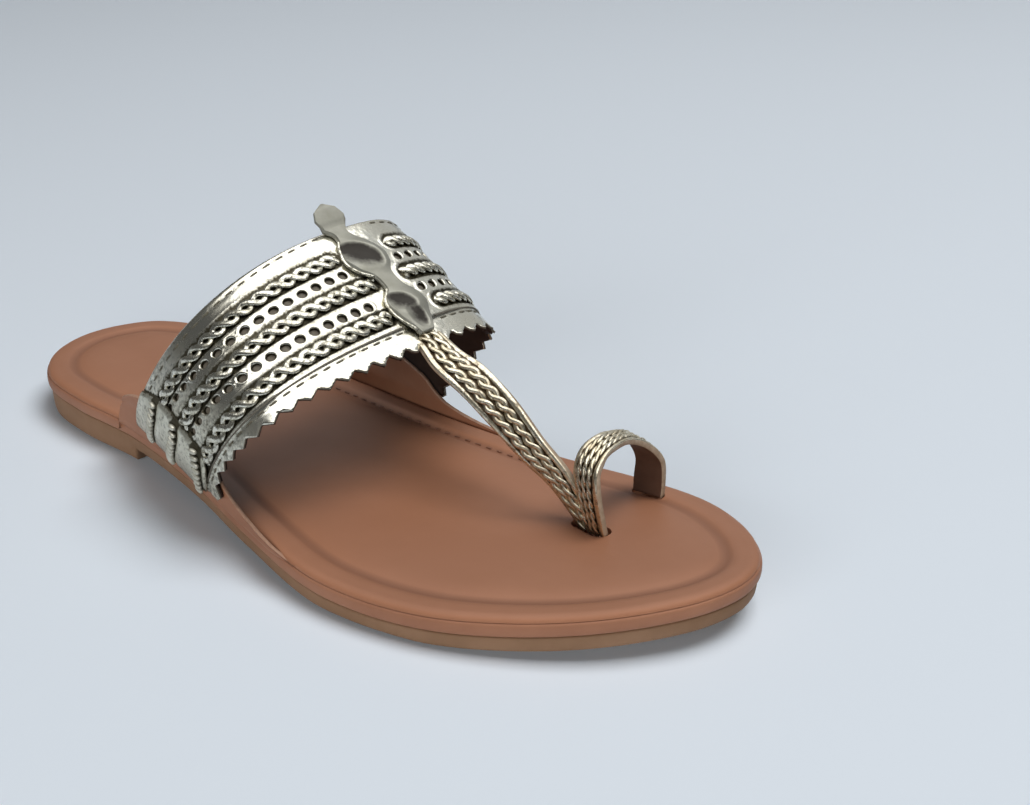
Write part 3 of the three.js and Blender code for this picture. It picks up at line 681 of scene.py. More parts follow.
def grown(name, guide, tree, settings, key):
    """The plain mesh that a tree makes from a guide; the guide and its modifier are removed."""
    modifier = guide.modifiers.new("grow", "NODES")
    modifier.node_group = tree
    for identifier, value in settings.items():
        modifier[identifier] = value
    bpy.context.view_layer.update()
    evaluated = guide.evaluated_get(bpy.context.evaluated_depsgraph_get())
    mesh = bpy.data.meshes.new_from_object(evaluated)
    guide.modifiers.remove(modifier)
    bpy.data.objects.remove(guide)
    mesh.name = name
    for extra in ("face_up", "along"):
        if extra in mesh.attributes:
            mesh.attributes.remove(mesh.attributes[extra])
    mesh.materials.clear()
    mesh.materials.append(FINISHES[key])
    mesh.polygons.foreach_set("material_index", np.zeros(len(mesh.polygons), np.int32))
    piece = bpy.data.objects.new(name, mesh)
    bpy.context.scene.collection.objects.link(piece)
    return face_outwards(piece)


def cords(name, lines, ups, width, thickness, sides=8, key="gold_cord"):
    """Flattened cords along lines of points, in millimetres."""
    guide = guide_mesh(name + "_guide", lines, {"face_up": ups})
    settings = {
        CORD_INPUTS["Width"]: width * MM, CORD_INPUTS["Thickness"]: thickness * MM,
        CORD_INPUTS["Sides"]: sides, CORD_INPUTS["Finish"]: FINISHES[key],
    }
    return grown(name, guide, cord_tree, settings, key)


def row_of(name, shape, points, ups, alongs, key):
    """One copy of a shape on each point, its Z outwards and its X along the row."""
    guide = guide_mesh(name + "_guide", [points], {"face_up": [ups], "along": [alongs]})
    settings = {ROW_INPUTS["Shape"]: shape, ROW_INPUTS["Finish"]: FINISHES[key]}
    return grown(name, guide, row_tree, settings, key)


def capsule(name, length, width, height, around=6, rings=5):
    """A small lozenge with rounded ends, long in X, used for stitches, rungs and dots."""
    u = np.linspace(0, math.pi, rings + 2)[1:-1]
    v = np.linspace(0, 2 * math.pi, around, endpoint=False)
    x = -np.cos(u)[:, None] * length / 2 + 0 * v
    full = np.sin(u)[:, None] ** 0.55
    y = full * np.cos(v) * width / 2
    z = full * np.sin(v) * height / 2
    body = np.stack([x, y, z], -1).reshape(-1, 3)
    ends = np.array([[-length / 2, 0, 0], [length / 2, 0, 0]])
    points = np.vstack([body, ends]) * MM
    faces = [tuple(f) for f in grid_faces(rings, around, closed_columns=True)]
    first, last = rings * around, rings * around + 1
    top = (rings - 1) * around
    faces += [(first, (k + 1) % around, k) for k in range(around)]
    faces += [(last, top + k, top + (k + 1) % around) for k in range(around)]
    mesh = bpy.data.meshes.new(name)
    mesh.from_pydata(points.tolist(), [], [tuple(int(i) for i in f) for f in faces])
    return bpy.data.objects.new(name, mesh)


print("geometry trees:", cord_tree.name, "and", row_tree.name)

# %% [markdown]
# ## The sole
# A sandal of this kind stands on a moulded rubber unit with a low heel. On it lies a board wrapped in
# leather, and on that a padded footbed with a pressed groove round its edge. All three follow the board's
# outline, so each is a stack of rings, every ring set in from the outline by a little and closed across
# at the top and bottom. The stations lie closer together at heel and toe, where the outline turns.

# %% Rings round the sole
STATION_COUNT = 150
BREAST_STEPS = (-0.45, 0.45)


def sole_stations():
    angle = np.linspace(0, math.pi, STATION_COUNT + 1)
    length = outline[:, 0].max()
    x = length / 2 * (1 - np.cos(angle))
    near = np.abs(x - HEEL_BREAST_X) < 1.2
    return np.sort(np.r_[x[~near], HEEL_BREAST_X + np.array(BREAST_STEPS)])


def ring_base():
    """Points round the outline at matching stations of both sides, and the directions inwards."""
    x = sole_stations()[1:-1]
    outer = np.column_stack([x, edge_y(-1, x)])
    inner = np.column_stack([x, edge_y(1, x)])
    ring = np.vstack([[HEEL_TIP], outer, [TOE_TIP], inner[::-1]])
    tangent = unit(np.roll(outline, -1, 0) - np.roll(outline, 1, 0))
    nearest = np.array([np.argmin(((outline - p) ** 2).sum(1)) for p in ring])
    directions = tangent[nearest]
    return ring, np.column_stack([-directions[:, 1], directions[:, 0]])


RING, INWARDS = ring_base()


def ring(inset, height):
    """One ring, set in from the outline, at a height that may vary along the shoe."""
    place = RING + INWARDS * inset
    return np.column_stack([place, height(place[:, 0])])


def stack_faces(levels, count):
    """Faces of a stack of rings, closed across at both ends."""
    walls = grid_faces(levels, count, closed_columns=True)[:, ::-1]
    faces = [tuple(f) for f in walls]
    for base, flip in ((0, False), ((levels - 1) * count, True)):
        for i in range(count // 2):
            quad = [base + i, base + i + 1, base + count - i - 1, base + (count - i) % count]
            corners = list(dict.fromkeys(quad))
            if len(corners) > 2:
                faces.append(tuple(reversed(corners)) if flip else tuple(corners))
    return faces


def sole_piece(name, rings, keys, painted_shade=None):
    vertices = np.concatenate(rings)
    piece = mesh_from(name, vertices, stack_faces(len(rings), len(RING)), keys, painted_shade)
    return face_outwards(piece)


# %% [markdown]
# The outsole has a heel block, a breast where the block ends, and a bottom that rises at the toe. A rubber
# moulding has no sharp edges, so each edge is rounded by two or three rings. Its bottom is 0.6 mm up, and
# short moulded ribs under heel and ball reach down to the floor.

# %% Outsole
TREAD_DEPTH = 0.6


def outsole_top(x):
    return board_top(x) - BOARD_THICKNESS - GAP


def outsole_bottom(x):
    lifted = np.maximum(0, outsole_top(x) + GAP - RUBBER_THICKNESS)
    return np.where(x < HEEL_BREAST_X, 0, lifted) + TREAD_DEPTH


def outsole_level(share, drop=0.0):
    return lambda x: outsole_bottom(x) + (outsole_top(x) - outsole_bottom(x)) * share - drop


outsole_rings = [
    ring(2.2, outsole_level(1)), ring(1.3, outsole_level(1)), ring(1.0, outsole_level(1, 0.15)),
    ring(0.9, outsole_level(1, 0.5)), ring(0.95, outsole_level(0.66)), ring(1.05, outsole_level(0.4)),
    ring(1.2, outsole_level(0.2)), ring(1.5, outsole_level(0.07)), ring(2.1, outsole_level(0)),
    ring(3.4, outsole_level(0)),
]
outsole = sole_piece("outsole_rubber", outsole_rings, ["rubber"])
hand_in(outsole, ["outsole"])


# %% [markdown]
# The tread is many short ribs of one shape. A row tree sets one rib on each point, so only the points
# have to be worked out: staggered rows, kept a little way in from the edge.

# %% Moulded ribs of the tread
def tread_points():
    """Rows of rib centres under the heel and the ball, kept clear of the edge."""
    points = []
    for k, x in enumerate(np.arange(10, 226, 5.2)):
        if 58 < x < 112 or x > 196:
            continue
        low, high = edge_y(-1, x) + 8.5, edge_y(1, x) - 8.5
        for y in np.arange(low + (k % 2) * 4.5, high, 9):
            points.append((x, y, outsole_bottom(x) - 0.1))
    return np.array(points)


rib = capsule("rib_shape", 7.2, 2.2, 1.0, around=8)
ribs_at = tread_points()
down = np.tile([0.0, 0.0, -1.0], (len(ribs_at), 1))
sideways = np.tile([0.0, 1.0, 0.0], (len(ribs_at), 1))
tread = row_of("outsole_tread_ribs", rib, ribs_at, down, sideways, "rubber")
hand_in(tread)
print("ribs:", len(ribs_at))

# %% [markdown]
# The board is wrapped in the same tan leather as the footbed. The wrapping bulges a little between its two
# edges, which gives the soft line of light along the side of the shoe.

# %% Wrapped board
def board_level(drop):
    return lambda x: board_top(x) - drop


BOARD_PROFILE = [
    (2.2, 0), (0.7, 0.01), (0.35, 0.1), (0.12, 0.35), (0.03, 0.9), (0, 1.7), (0.03, 2.4), (0.15, 3.0),
    (0.5, 3.5), (0.9, 3.68), (2.2, 3.7),
]
wrapped_board = sole_piece(
    "wrapped_board", [ring(inset, board_level(drop)) for inset, drop in BOARD_PROFILE], ["wrap"])
hand_in(wrapped_board, ["midsole_board"])

# %% [markdown]
# The footbed is foam under smooth tan leather: a rolled rim, a groove pressed with a hot wheel, then a
# raised pad. A quilted seat like this could be simulated as cloth, but it is glued down and pressed, so
# its shape is exact, and rings of different heights draw it better. Two slots let the toe straps in.

# %% Footbed
FOOTBED_INSET = 0.7
# distance in from the footbed's own edge, height over the board
FOOTBED_TOP = [
    (0, 0.8), (0.5, 1.3), (1.8, 1.68), (3.4, 1.66), (4.6, 1.7), (5.9, 1.48), (7.2, 1.0), (8, 0.88), (9, 1.02),
    (11, 1.5), (13.5, 1.8), (17, 1.95),
]
FOOTBED_STEPS = [
    0, 0.15, 0.35, 0.6, 1, 1.5, 2, 3, 4, 5, 5.8, 6.4, 6.9, 7.3, 7.6, 7.8, 8, 8.3, 8.7, 9.2, 9.8, 10.5, 11.3,
    12.4, 14, 15.5, 17,
]
SLOT_SIDES = 40
GROOVE_AT = 7.9
GROOVE_SPREAD = 2.3
GROOVE_SHADE = 0.44
# x, y, length, width, turn in degrees
SLOTS = [(203, 5, 12.6, 5.8, -12), (201.9, 30.4, 10.0, 2.8, 0)]


def footbed_level(rise):
    return lambda x: board_top(x) + rise


rises = [float(along_table(FOOTBED_TOP, 1, inset)) for inset in FOOTBED_STEPS]
steps_and_rises = list(zip(FOOTBED_STEPS, rises))[::-1]
footbed_rings = [ring(FOOTBED_INSET + inset, footbed_level(rise)) for inset, rise in steps_and_rises]
footbed_rings += [ring(FOOTBED_INSET - 0.2, footbed_level(rise)) for rise in (0.4, 0.12)]
footbed_rings += [ring(FOOTBED_INSET + 1.4, footbed_level(0.05))]
# Painted shade along the pressed groove, soft and wide, darkest at its middle.
pressed = [math.exp(-(((inset - GROOVE_AT) / GROOVE_SPREAD) ** 2)) for inset, _ in steps_and_rises]
footbed_painted_shade = np.repeat(np.array(pressed + [0, 0, 0]) * GROOVE_SHADE, len(RING))
footbed = sole_piece("padded_footbed", footbed_rings, ["tan"], footbed_painted_shade)


def slot_cutter(x, y, length, width, turn):
    """A slot with round ends, as a solid that is taken out of the footbed."""
    angle = np.linspace(0, 2 * math.pi, SLOT_SIDES, endpoint=False)
    reach = (length - width) / 2
    flat_x = np.cos(angle) * width / 2 + np.sign(np.cos(angle)) * reach
    flat_y = np.sin(angle) * width / 2
    c, s = math.cos(math.radians(turn)), math.sin(math.radians(turn))
    level = float(board_top(x))
    lid = [np.column_stack([x + c * flat_x - s * flat_y, y + s * flat_x + c * flat_y, 0 * angle + level + z])
           for z in (-4, 8)]
    faces = [tuple(f) for f in grid_faces(2, SLOT_SIDES, closed_columns=True)]
    faces += [tuple(range(SLOT_SIDES)), tuple(range(2 * SLOT_SIDES - 1, SLOT_SIDES - 1, -1))]
    return face_outwards(mesh_from("slot_cutter", np.concatenate(lid), faces, ["tan"]))


for row in SLOTS:
    cutter = slot_cutter(*row)
    cut = footbed.modifiers.new("slot", "BOOLEAN")
    cut.operation = "DIFFERENCE"
    cut.solver = "EXACT"
    cut.object = cutter
    bpy.context.view_layer.update()
    result = bpy.data.meshes.new_from_object(footbed.evaluated_get(bpy.context.evaluated_depsgraph_get()))
    footbed.modifiers.remove(cut)
    footbed.data = result
    bpy.data.objects.remove(cutter)
footbed.data.set_sharp_from_angle(angle=math.radians(50))
hand_in(footbed, ["footbed"])

# %% [markdown]
# A stitch in leather is mostly the hole and the shadow round it. These marks are small low lozenges laid in
# the groove, only along the inner arch.

# %% Stitch marks in the footbed's groove, along the inner arch
MARK_PITCH = 3.4
MARKS_FROM_X = 92
MARKS_TO_X = 172
groove_line = ring(FOOTBED_INSET + 7.8, footbed_level(1.05))
inner_arch = groove_line[len(RING) // 2:]
inner_arch = inner_arch[(inner_arch[:, 0] > MARKS_FROM_X) & (inner_arch[:, 0] < MARKS_TO_X)][::-1]
count = int(arc_lengths(inner_arch)[-1] / MARK_PITCH)
marks_at = evenly(inner_arch, count)
mark_along = unit(np.gradient(marks_at, axis=0))
mark_up = np.tile([0.0, 0.0, 1.0], (count, 1))
mark = capsule("mark_shape", 1.9, 0.6, 0.5)
marks = row_of("footbed_stitch_marks", mark, marks_at, mark_up, mark_along, "brown_thread")
hand_in(marks)

# %% [markdown]
# ## The leather wings
# At each side a wing of tan leather is lasted in between board and footbed and stands up inside the band.
# It is a thin sheet, so its section is a path of points from the flange, round the board's edge and up
# to a cut edge, and the same path is repeated along the shoe. The cut edge shows the pale core of the
# leather, so the faces along the top take another finish.

# %% Wings
WING_REAR_X = 62
WING_FRONT_X = 158
WING_WALL = 1.15
WING_CLEARANCE = 1.1
FLANGE_REACH = 6.5
FLANGE_THICKNESS = 0.9
WING_TOP = [
    (62, 10.5), (62.8, 14), (64.3, 18), (67, 21.5), (71, 24.2), (78, 26), (100, 25), (118, 20.5), (125, 17),
    (134, 13.8), (146, 11.6), (158, 10.7),
]


def flank_reach(side, x, z, depth):
    """Distance out to the band's flank below its widest point, moved in along the normal."""
    a = x - INSTEP_LEAN * z
    wide_z, base_z = along_table(INSTEP, 5, a), along_table(INSTEP, 8, a)
    half = along_table(INSTEP, 3 if side < 0 else 4, a)
    foot = side * edge_y(side, x) + BAND_STANDOFF
    bulge = side * along_table(INSTEP, 1, a) + half - foot
    u = np.clip((wide_z - z) / (wide_z - base_z), 0, 1)
    slope_up = 2 * u * bulge / (wide_z - base_z)
    slope_along = (edge_y(side, x + 1) - edge_y(side, x - 1)) / 2
    return foot + bulge * (1 - u * u) - depth * np.sqrt(1 + slope_up**2 + slope_along**2)


def wing(side):
    stations, riser = 110, 12
    x = WING_REAR_X + (WING_FRONT_X - WING_REAR_X) * np.linspace(0, 1, stations) ** 1.25
    edge, seat = side * edge_y(side, x), board_top(x)
    top = along_table(WING_TOP, 1, x)
    taper = smooth_step(WING_FRONT_X, WING_FRONT_X - 12, x)
    outer = [(edge - FLANGE_REACH, seat - FLANGE_THICKNESS), (edge - 1.2, seat - FLANGE_THICKNESS),
             (edge - 0.7 + 0.9 * taper, seat - 0.6), (edge - 0.6 + 1.2 * taper, seat)]
    inner = [(edge - FLANGE_REACH, seat), (edge - 1.6, seat), (edge - 0.5, seat + 0.02),
             (edge - 0.35, seat + 0.4)]
    for k in range(1, riser + 1):
        z = seat + (0.6 + (top - seat - 0.6) * k / riser) * (0.1 + 0.9 * taper)
        face = np.maximum(flank_reach(side, x, z, BAND_WALL + WING_CLEARANCE), edge + 0.9)
        face = edge - 0.5 + (face - edge + 0.5) * taper
        outer.append((face, z))
        inner.append((face - WING_WALL, z))
    face, z = outer[-1]
    outer[-1] = (face, z - 0.25)
    inner[-1] = (face - WING_WALL, z - 0.25)
    lip = [(face - 0.2, z), (face - WING_WALL + 0.2, z)]
    loop = outer + lip + inner[::-1]
    section = np.array([np.column_stack([x, side * y, z]) for y, z in loop]).transpose(1, 0, 2)
    rows, columns = section.shape[:2]
    column = np.tile(np.arange(columns), rows - 1)
    lip_start = len(outer) - 1
    cut = (column >= lip_start) & (column < lip_start + 3)
    name = "leather_wing_outer" if side < 0 else "leather_wing_inner"
    piece = mesh_from(name, section.reshape(-1, 3), tube_faces(rows, columns), ["wrap", "pink_edge"],
                      face_finish=list(cut.astype(int)) + [0, 0])
    return face_outwards(piece)


hand_in(wing(-1), ["wing_lateral"])
hand_in(wing(1), ["wing_medial"])

# %% [markdown]
# ## The instep band
# The band is foil leather over a dark lining. Its pattern repeats across the shoe in strips: a stitched
# back edge, a braid in a channel, a strip of punched holes, a braid, holes, a braid, then a pinked strip
# with teeth like those of pinking shears. The holes are real: the leather is a flat sheet in (arc, a)
# coordinates, cut into triangles round every hole and tooth, and then bent on to the instep.

# %% Strips of the band, in section coordinate a
BRAIDS = {
    "back": {"low": 72.6, "high": 80.0, "outer_end": -5.0, "inner_start": 10.9},
    "middle": {"low": 86.6, "high": 94.2, "outer_end": 0.0, "inner_start": 7.4},
    "front": {"low": 100.9, "high": 107.8, "outer_end": -2.5, "inner_start": 11.4},
}
PANEL_EDGE = [
    (64.5, 0.815), (76, 0.77), (89, 0.77), (97, 0.79), (102, 0.815), (105, 0.845), (107, 0.885),
    (108.2, 0.94),
]
HOLE_RADIUS = 1.22
# strip centre along the outer side: t, a
HOLE_LINES = [
    [(-0.85, 81), (-0.7, 81.5), (-0.5, 83), (-0.05, 83.5)],
    [(-0.8, 95), (-0.65, 95.5), (-0.5, 97), (-0.05, 98.5)],
]
HOLE_FIRST = (-8.8, -8.7)
HOLE_PITCH = (4.5, 4.42)
HOLE_LAST_SHARE = (-0.80, -0.77)
# a, arc of the first hole
INNER_HOLES = ((83.2, 11.9), (97.6, 11.5))
INNER_HOLE_PITCH = 4.4
INNER_HOLE_LAST_SHARE = 0.76
TOOTH_PITCH = 5.62
TOOTH_FIRST_TIP = -3.8
TOOTH_BACK_SHARE = 0.42
TOOTH_DEPTH = 2.3
# t, a of the tooth tips
BAND_FRONT = [
    (-1, 115.5), (-0.87, 112.5), (-0.6, 116), (-0.2, 118.5), (0, 119), (0.35, 119), (0.6, 117.5),
    (0.8, 115.5), (1, 116),
]
# t, a of the edge of the upper layer, where the pinked strip comes out from under it
LAYER_EDGE = [(-1, 108), (-0.8, 108), (-0.6, 109), (-0.4, 109.5), (1, 109.5)]
CHANNEL_DEPTH = 0.55
LIP_HEIGHT = 0.16
LAYER_STEP = 0.42
FURROW_DEPTH = 0.16
FURROW_REACH = 0.55
BACK_ROLL = 0.35
# millimetres over the band's face for one unit of a, near the crest
SECTION_MM = 0.87


def front_edge(t):
    """Section coordinate of the pinked edge: straight flanks between tips and valleys."""
    t = np.asarray(t, float)
    tips = along_table(BAND_FRONT, 1, t)
    along = ((arc_at(tips, t) - TOOTH_FIRST_TIP) / TOOTH_PITCH) % 1
    rise_from = 1 - TOOTH_BACK_SHARE
    valley = np.where(along < rise_from, along / rise_from, (1 - along) / TOOTH_BACK_SHARE)
    return tips - TOOTH_DEPTH * valley


def tooth_turns():
    """Places t of every tip and valley between the two feet."""
    marks = []
    for k in range(-30, 30):
        for part in (0.0, 1 - TOOTH_BACK_SHARE):
            arc = TOOTH_FIRST_TIP + (k + part) * TOOTH_PITCH
            t = float(share_at(115.0, arc))
            for _ in range(4):
                t = float(share_at(float(along_table(BAND_FRONT, 1, t)), arc))
            marks.append(t)
    return np.array([t for t in sorted(marks) if abs(t) < 0.992])


def layer_edge_a(t):
    return along_table(LAYER_EDGE, 1, t)


def front_stitch_a(t):
    return layer_edge_a(t) + 1.35


def channel_depth(a, t):
    """How far inside a braid's channel a point is, in millimetres; negative outside all of them."""
    arc = arc_at(a, t)
    deepest = np.full(np.shape(arc), -9.0)
    for braid in BRAIDS.values():
        middle = (braid["low"] + braid["high"]) / 2
        half = (braid["high"] - braid["low"]) / 2 * SECTION_MM
        sideways = (a - middle) * SECTION_MM
        past = np.where(arc < 2, arc - (braid["outer_end"] - half), (braid["inner_start"] + half) - arc)
        inside = half - np.hypot(sideways, np.maximum(past, 0))
        deepest = np.maximum(deepest, inside)
    return deepest


def back_stitch_a(t):
    return 65.45 + 4.6 * np.minimum(np.abs(t), 0.5)


def leather_height(a, t):
    """Relief of the foil leather: channels with raised lips, stitch furrows, rolled back edge."""
    inside = channel_depth(a, t)
    relief = -CHANNEL_DEPTH * smooth_step(0, 0.6, inside)
    relief += LIP_HEIGHT * np.exp(-(((inside + 0.42) / 0.3) ** 2))
    relief -= LAYER_STEP * smooth_step(-0.15, 0.35, a - layer_edge_a(t))
    relief -= FURROW_DEPTH * np.exp(-(((a - back_stitch_a(t)) / FURROW_REACH) ** 2))
    relief -= FURROW_DEPTH * np.exp(-(((a - front_stitch_a(t)) / FURROW_REACH) ** 2))
    relief -= BACK_ROLL * smooth_step(BAND_BACK + 0.75, BAND_BACK, a)
    return relief


def hole_places():
    places = []
    for line, first, pitch, last in zip(HOLE_LINES, HOLE_FIRST, HOLE_PITCH, HOLE_LAST_SHARE):
        arc = first
        a = line[-1][1]
        while arc / np.interp(a, SECTIONS, HALF_ARC[-1]) > last:
            t = float(share_at(a, arc))
            a = float(along_table(line, 1, t))
            places.append((a, float(share_at(a, arc))))
            arc -= pitch
    for a, first in INNER_HOLES:
        arc = first
        while share_at(a, arc) < INNER_HOLE_LAST_SHARE:
            places.append((a, float(share_at(a, arc))))
            arc += INNER_HOLE_PITCH
    return np.array(places)


HOLES = hole_places()
print("punched holes:", len(HOLES))

# %% [markdown]
# The sheet is cut flat first. Points are laid on its border, on rings round each hole and on a loose grid
# between them, and a constrained Delaunay triangulation joins them. Triangles inside a hole or beyond the
# teeth are dropped. The same triangles make the under side, and walls join the two along every cut.

# %% Cutting the sheet
FLAT_ACROSS = 88.0
FLAT_ALONG = 0.88
HOLE_SIDES = 22
RIM_RINGS = (0.0, 0.22, 0.5, 0.85, 1.3)
RIM_HEIGHTS = (-0.3, -0.03, 0.09, 0.05, 0.0)


def flat_to_band(points):
    return BAND_BACK + points[:, 1] / FLAT_ALONG, points[:, 0] / FLAT_ACROSS


def border_line():
    """The sheet's border, counter-clockwise in flat coordinates."""
    back_t = np.linspace(-1, 1, 170)
    back = np.column_stack([back_t * FLAT_ACROSS, 0 * back_t])
    turns = np.r_[-1, tooth_turns(), 1]
    front_t = np.concatenate([np.linspace(p, q, 4, endpoint=False) for p, q in zip(turns, turns[1:])] + [[1]])
    front = np.column_stack([front_t, front_edge(front_t)])
    rise = np.linspace(0, 1, 46)[1:-1]
    right = np.column_stack([np.ones(44) * FLAT_ACROSS, rise * (front[-1, 1] - BAND_BACK) * FLAT_ALONG])
    left = np.column_stack([-np.ones(44) * FLAT_ACROSS, rise[::-1] * (front[0, 1] - BAND_BACK) * FLAT_ALONG])
    front_flat = np.column_stack([front[::-1, 0] * FLAT_ACROSS, (front[::-1, 1] - BAND_BACK) * FLAT_ALONG])
    return np.vstack([back, right, front_flat, left])


def cut_sheet():
    """Vertices in flat coordinates, extra heights from the hole rims, and triangles."""
    border = border_line()
    points = [border]
    edges = [(i, (i + 1) % len(border)) for i in range(len(border))]
    heights = [np.zeros(len(border))]
    total = len(border)
    centres = np.column_stack([HOLES[:, 1] * FLAT_ACROSS, (HOLES[:, 0] - BAND_BACK) * FLAT_ALONG])
    angle = np.linspace(0, 2 * math.pi, HOLE_SIDES, endpoint=False)
    half_arc = np.abs(arc_at(HOLES[:, 0], HOLES[:, 1]) / HOLES[:, 1])
    section_mm = np.linalg.norm(band_point(HOLES[:, 0] + 0.5, HOLES[:, 1])
                                - band_point(HOLES[:, 0] - 0.5, HOLES[:, 1]), axis=1)
    scale = np.column_stack([FLAT_ACROSS / half_arc, FLAT_ALONG / section_mm])
    for centre, stretch in zip(centres, scale):
        for grow, height in zip(RIM_RINGS, RIM_HEIGHTS):
            turn = angle + (0.14 if grow in RIM_RINGS[1::2] else 0)
            circle = np.column_stack([np.cos(turn), np.sin(turn)]) * (HOLE_RADIUS + grow)
            points.append(centre + circle * stretch)
            heights.append(np.full(HOLE_SIDES, height))
            if grow == 0:
                edges += [(total + k, total + (k + 1) % HOLE_SIDES) for k in range(HOLE_SIDES)]
            total += HOLE_SIDES
    grid_a = np.unique(np.round(np.concatenate([
        np.arange(BAND_BACK + 0.25, 72, 0.5), np.arange(72.2, 80.6, 0.35), np.arange(81, 86, 0.9),
        np.arange(86.2, 94.8, 0.35), np.arange(95.2, 100.4, 0.9), np.arange(100.5, 108.6, 0.35),
        np.arange(108.9, 112, 0.3), np.arange(112.4, 119, 0.8)]), 3))
    grid_t = np.linspace(-0.994, 0.994, 190)
    a, t = np.meshgrid(grid_a, grid_t, indexing="ij")
    t = t + 0.5 * (grid_t[1] - grid_t[0]) * (np.arange(len(grid_a)) % 2)[:, None]
    keep = (a < front_edge(t) - 0.45) & (np.abs(t) < 0.996)
    loose = np.column_stack([t[keep] * FLAT_ACROSS, (a[keep] - BAND_BACK) * FLAT_ALONG])
    away = np.ones(len(loose), bool)
    for centre, stretch in zip(centres, scale):
        away &= np.linalg.norm((loose - centre) / stretch, axis=1) > HOLE_RADIUS + RIM_RINGS[-1] + 0.25
    loose = loose[away]
    points.append(loose)
    heights.append(np.zeros(len(loose)))
    flat = np.concatenate(points)
    out = delaunay_2d_cdt([Vector(p) for p in flat.tolist()], edges, [], 0, 1e-6)
    flat_out = np.array([tuple(v) for v in out[0]])
    triangles = np.array(out[2])
    source = np.array([origin[0] if origin else -1 for origin in out[3]])
    extra = np.where(source >= 0, np.concatenate(heights)[source], 0)
    middle = flat_out[triangles].mean(axis=1)
    a, t = flat_to_band(middle)
    inside = (a > BAND_BACK) & (a < front_edge(t)) & (np.abs(t) < 1)
    for centre, stretch in zip(centres, scale):
        inside &= np.linalg.norm((middle - centre) / stretch, axis=1) > HOLE_RADIUS * 0.985
    return flat_out, extra, triangles[inside]


def bent_sheet(name, flat, extra, triangles, top, thickness, keys, painted_shade, worn, cut_finish):
    """A flat cut sheet bent on to the band, with an under side and walls along every cut."""
    a, t = flat_to_band(flat)
    upper = band_offset(a, t, top + extra)
    under = band_offset(a, t, np.full(len(flat), -thickness))
    edges = {}
    for tri in triangles:
        for p, q in ((tri[0], tri[1]), (tri[1], tri[2]), (tri[2], tri[0])):
            edges[(p, q)] = True
    open_edges = [(p, q) for p, q in edges if (q, p) not in edges]
    n = len(flat)
    faces = [tuple(f) for f in triangles] + [(f[2] + n, f[1] + n, f[0] + n) for f in triangles]
    finish_of = [0] * len(faces)
    for p, q in open_edges:
        faces.append((q, p, p + n, q + n))
        finish_of.append(cut_finish(a[p], t[p]))
    used = np.unique(triangles)
    keep = np.zeros(2 * n, bool)
    keep[used] = True
    keep[used + n] = True
    renumber = np.cumsum(keep) - 1
    faces = [tuple(renumber[list(f)]) for f in faces]
    vertices = np.vstack([upper, under])[keep]
    shade = np.r_[painted_shade, painted_shade][keep]
    rubbed = np.r_[worn, worn][keep]
    return face_outwards(mesh_from(name, vertices, faces, keys, shade, finish_of, rubbed))


FOIL_THICKNESS = 1.0
PINKED_FROM = 107
flat, rim, triangles = cut_sheet()
a, t = flat_to_band(flat)
height = leather_height(a, t)
inside = channel_depth(a, t)
# Painted shade: dark in the braid channels and round their lips, along the side panels' seams, in the stitch
# furrows and at the sunken edge of every hole. Towards both feet the foil is darker and mottled, partly
# painted shade and partly the foil's own mottle.
shade = 0.92 * smooth_step(0.05, 0.55, inside) + 0.42 * smooth_step(-1.3, 0.05, inside)
shade = np.minimum(shade, 1)
seam_gap = (along_table(PANEL_EDGE, 1, a) - np.abs(t)) * 90
shade = np.maximum(shade, 0.85 * smooth_step(1.0, 0.2, np.abs(seam_gap)) * smooth_step(108.6, 108.0, a))
shade = np.maximum(shade, np.where(t < 0, 0.26, 0.30) * smooth_step(0.55, 0.72, np.abs(t)))
for stitch_a in (back_stitch_a(t), front_stitch_a(t)):
    shade = np.maximum(shade, 0.35 * np.exp(-(((a - stitch_a) / 0.45) ** 2)))
shade = np.maximum(shade, np.where(rim < -0.1, 0.75, 0))
worn = smooth_step(0.5, 0.85, np.abs(t))
# The walls of the pinked strip take the dark edge finish, which is painted shade.
foil = bent_sheet(
    "band_foil_leather", flat, rim, triangles, height, FOIL_THICKNESS, ["gold", "dark_edge"], shade, worn,
    lambda a, t: 1 if a > PINKED_FROM and abs(t) < 0.999 else 0)
hand_in(foil, ["upper"])

# %% [markdown]
# Under the foil lies the lining. Its upper side is a backing cloth, which shows inside every hole, and its
# under side is the dark leather of the band's inner face. It is a plain grid with the same teeth, set back
# a hair so that the foil's cut edge stays crisp.

# %% Lining of the band
LINING_FACES = (1.02, 1.6)
lining_t = np.unique(np.round(np.r_[np.linspace(-1, 1, 151), tooth_turns()], 5))
lining_rows = np.linspace(0, 1, 24)[:, None]
lining_front = front_edge(lining_t) - 0.35
lining_a = BAND_BACK + 0.25 + (lining_front - BAND_BACK - 0.25) * lining_rows
lining_t = np.broadcast_to(lining_t, lining_a.shape)
lining_sides = [band_offset(lining_a, lining_t, np.full(lining_a.shape, -d)) for d in LINING_FACES]
lining_points, lining_faces = sheet_between(*lining_sides)
outer_count = len(grid_faces(*lining_a.shape))
lining_finish = [1] * outer_count + [0] * (len(lining_faces) - outer_count)
lining = face_outwards(mesh_from(
    "band_lining", lining_points, lining_faces, ["lining", "backing"], face_finish=lining_finish))
hand_in(lining)

# %% [markdown]
# ## Braids
# Each channel holds a plait of two flat cords that cross again and again and leave a small dark eye between
# every two crossings. The curve is simple: each cord swings from side to side as a sine, half a turn apart,
# and rises and dips as a cosine, so that it goes over the other and then under it. The tree then sweeps a
# flattened section along the curve.

# %% Plaits along any path
TWIST_PERIOD = 8.8
CORDS_IN_PLAIT = 2
PLAIT_STEP = 0.4


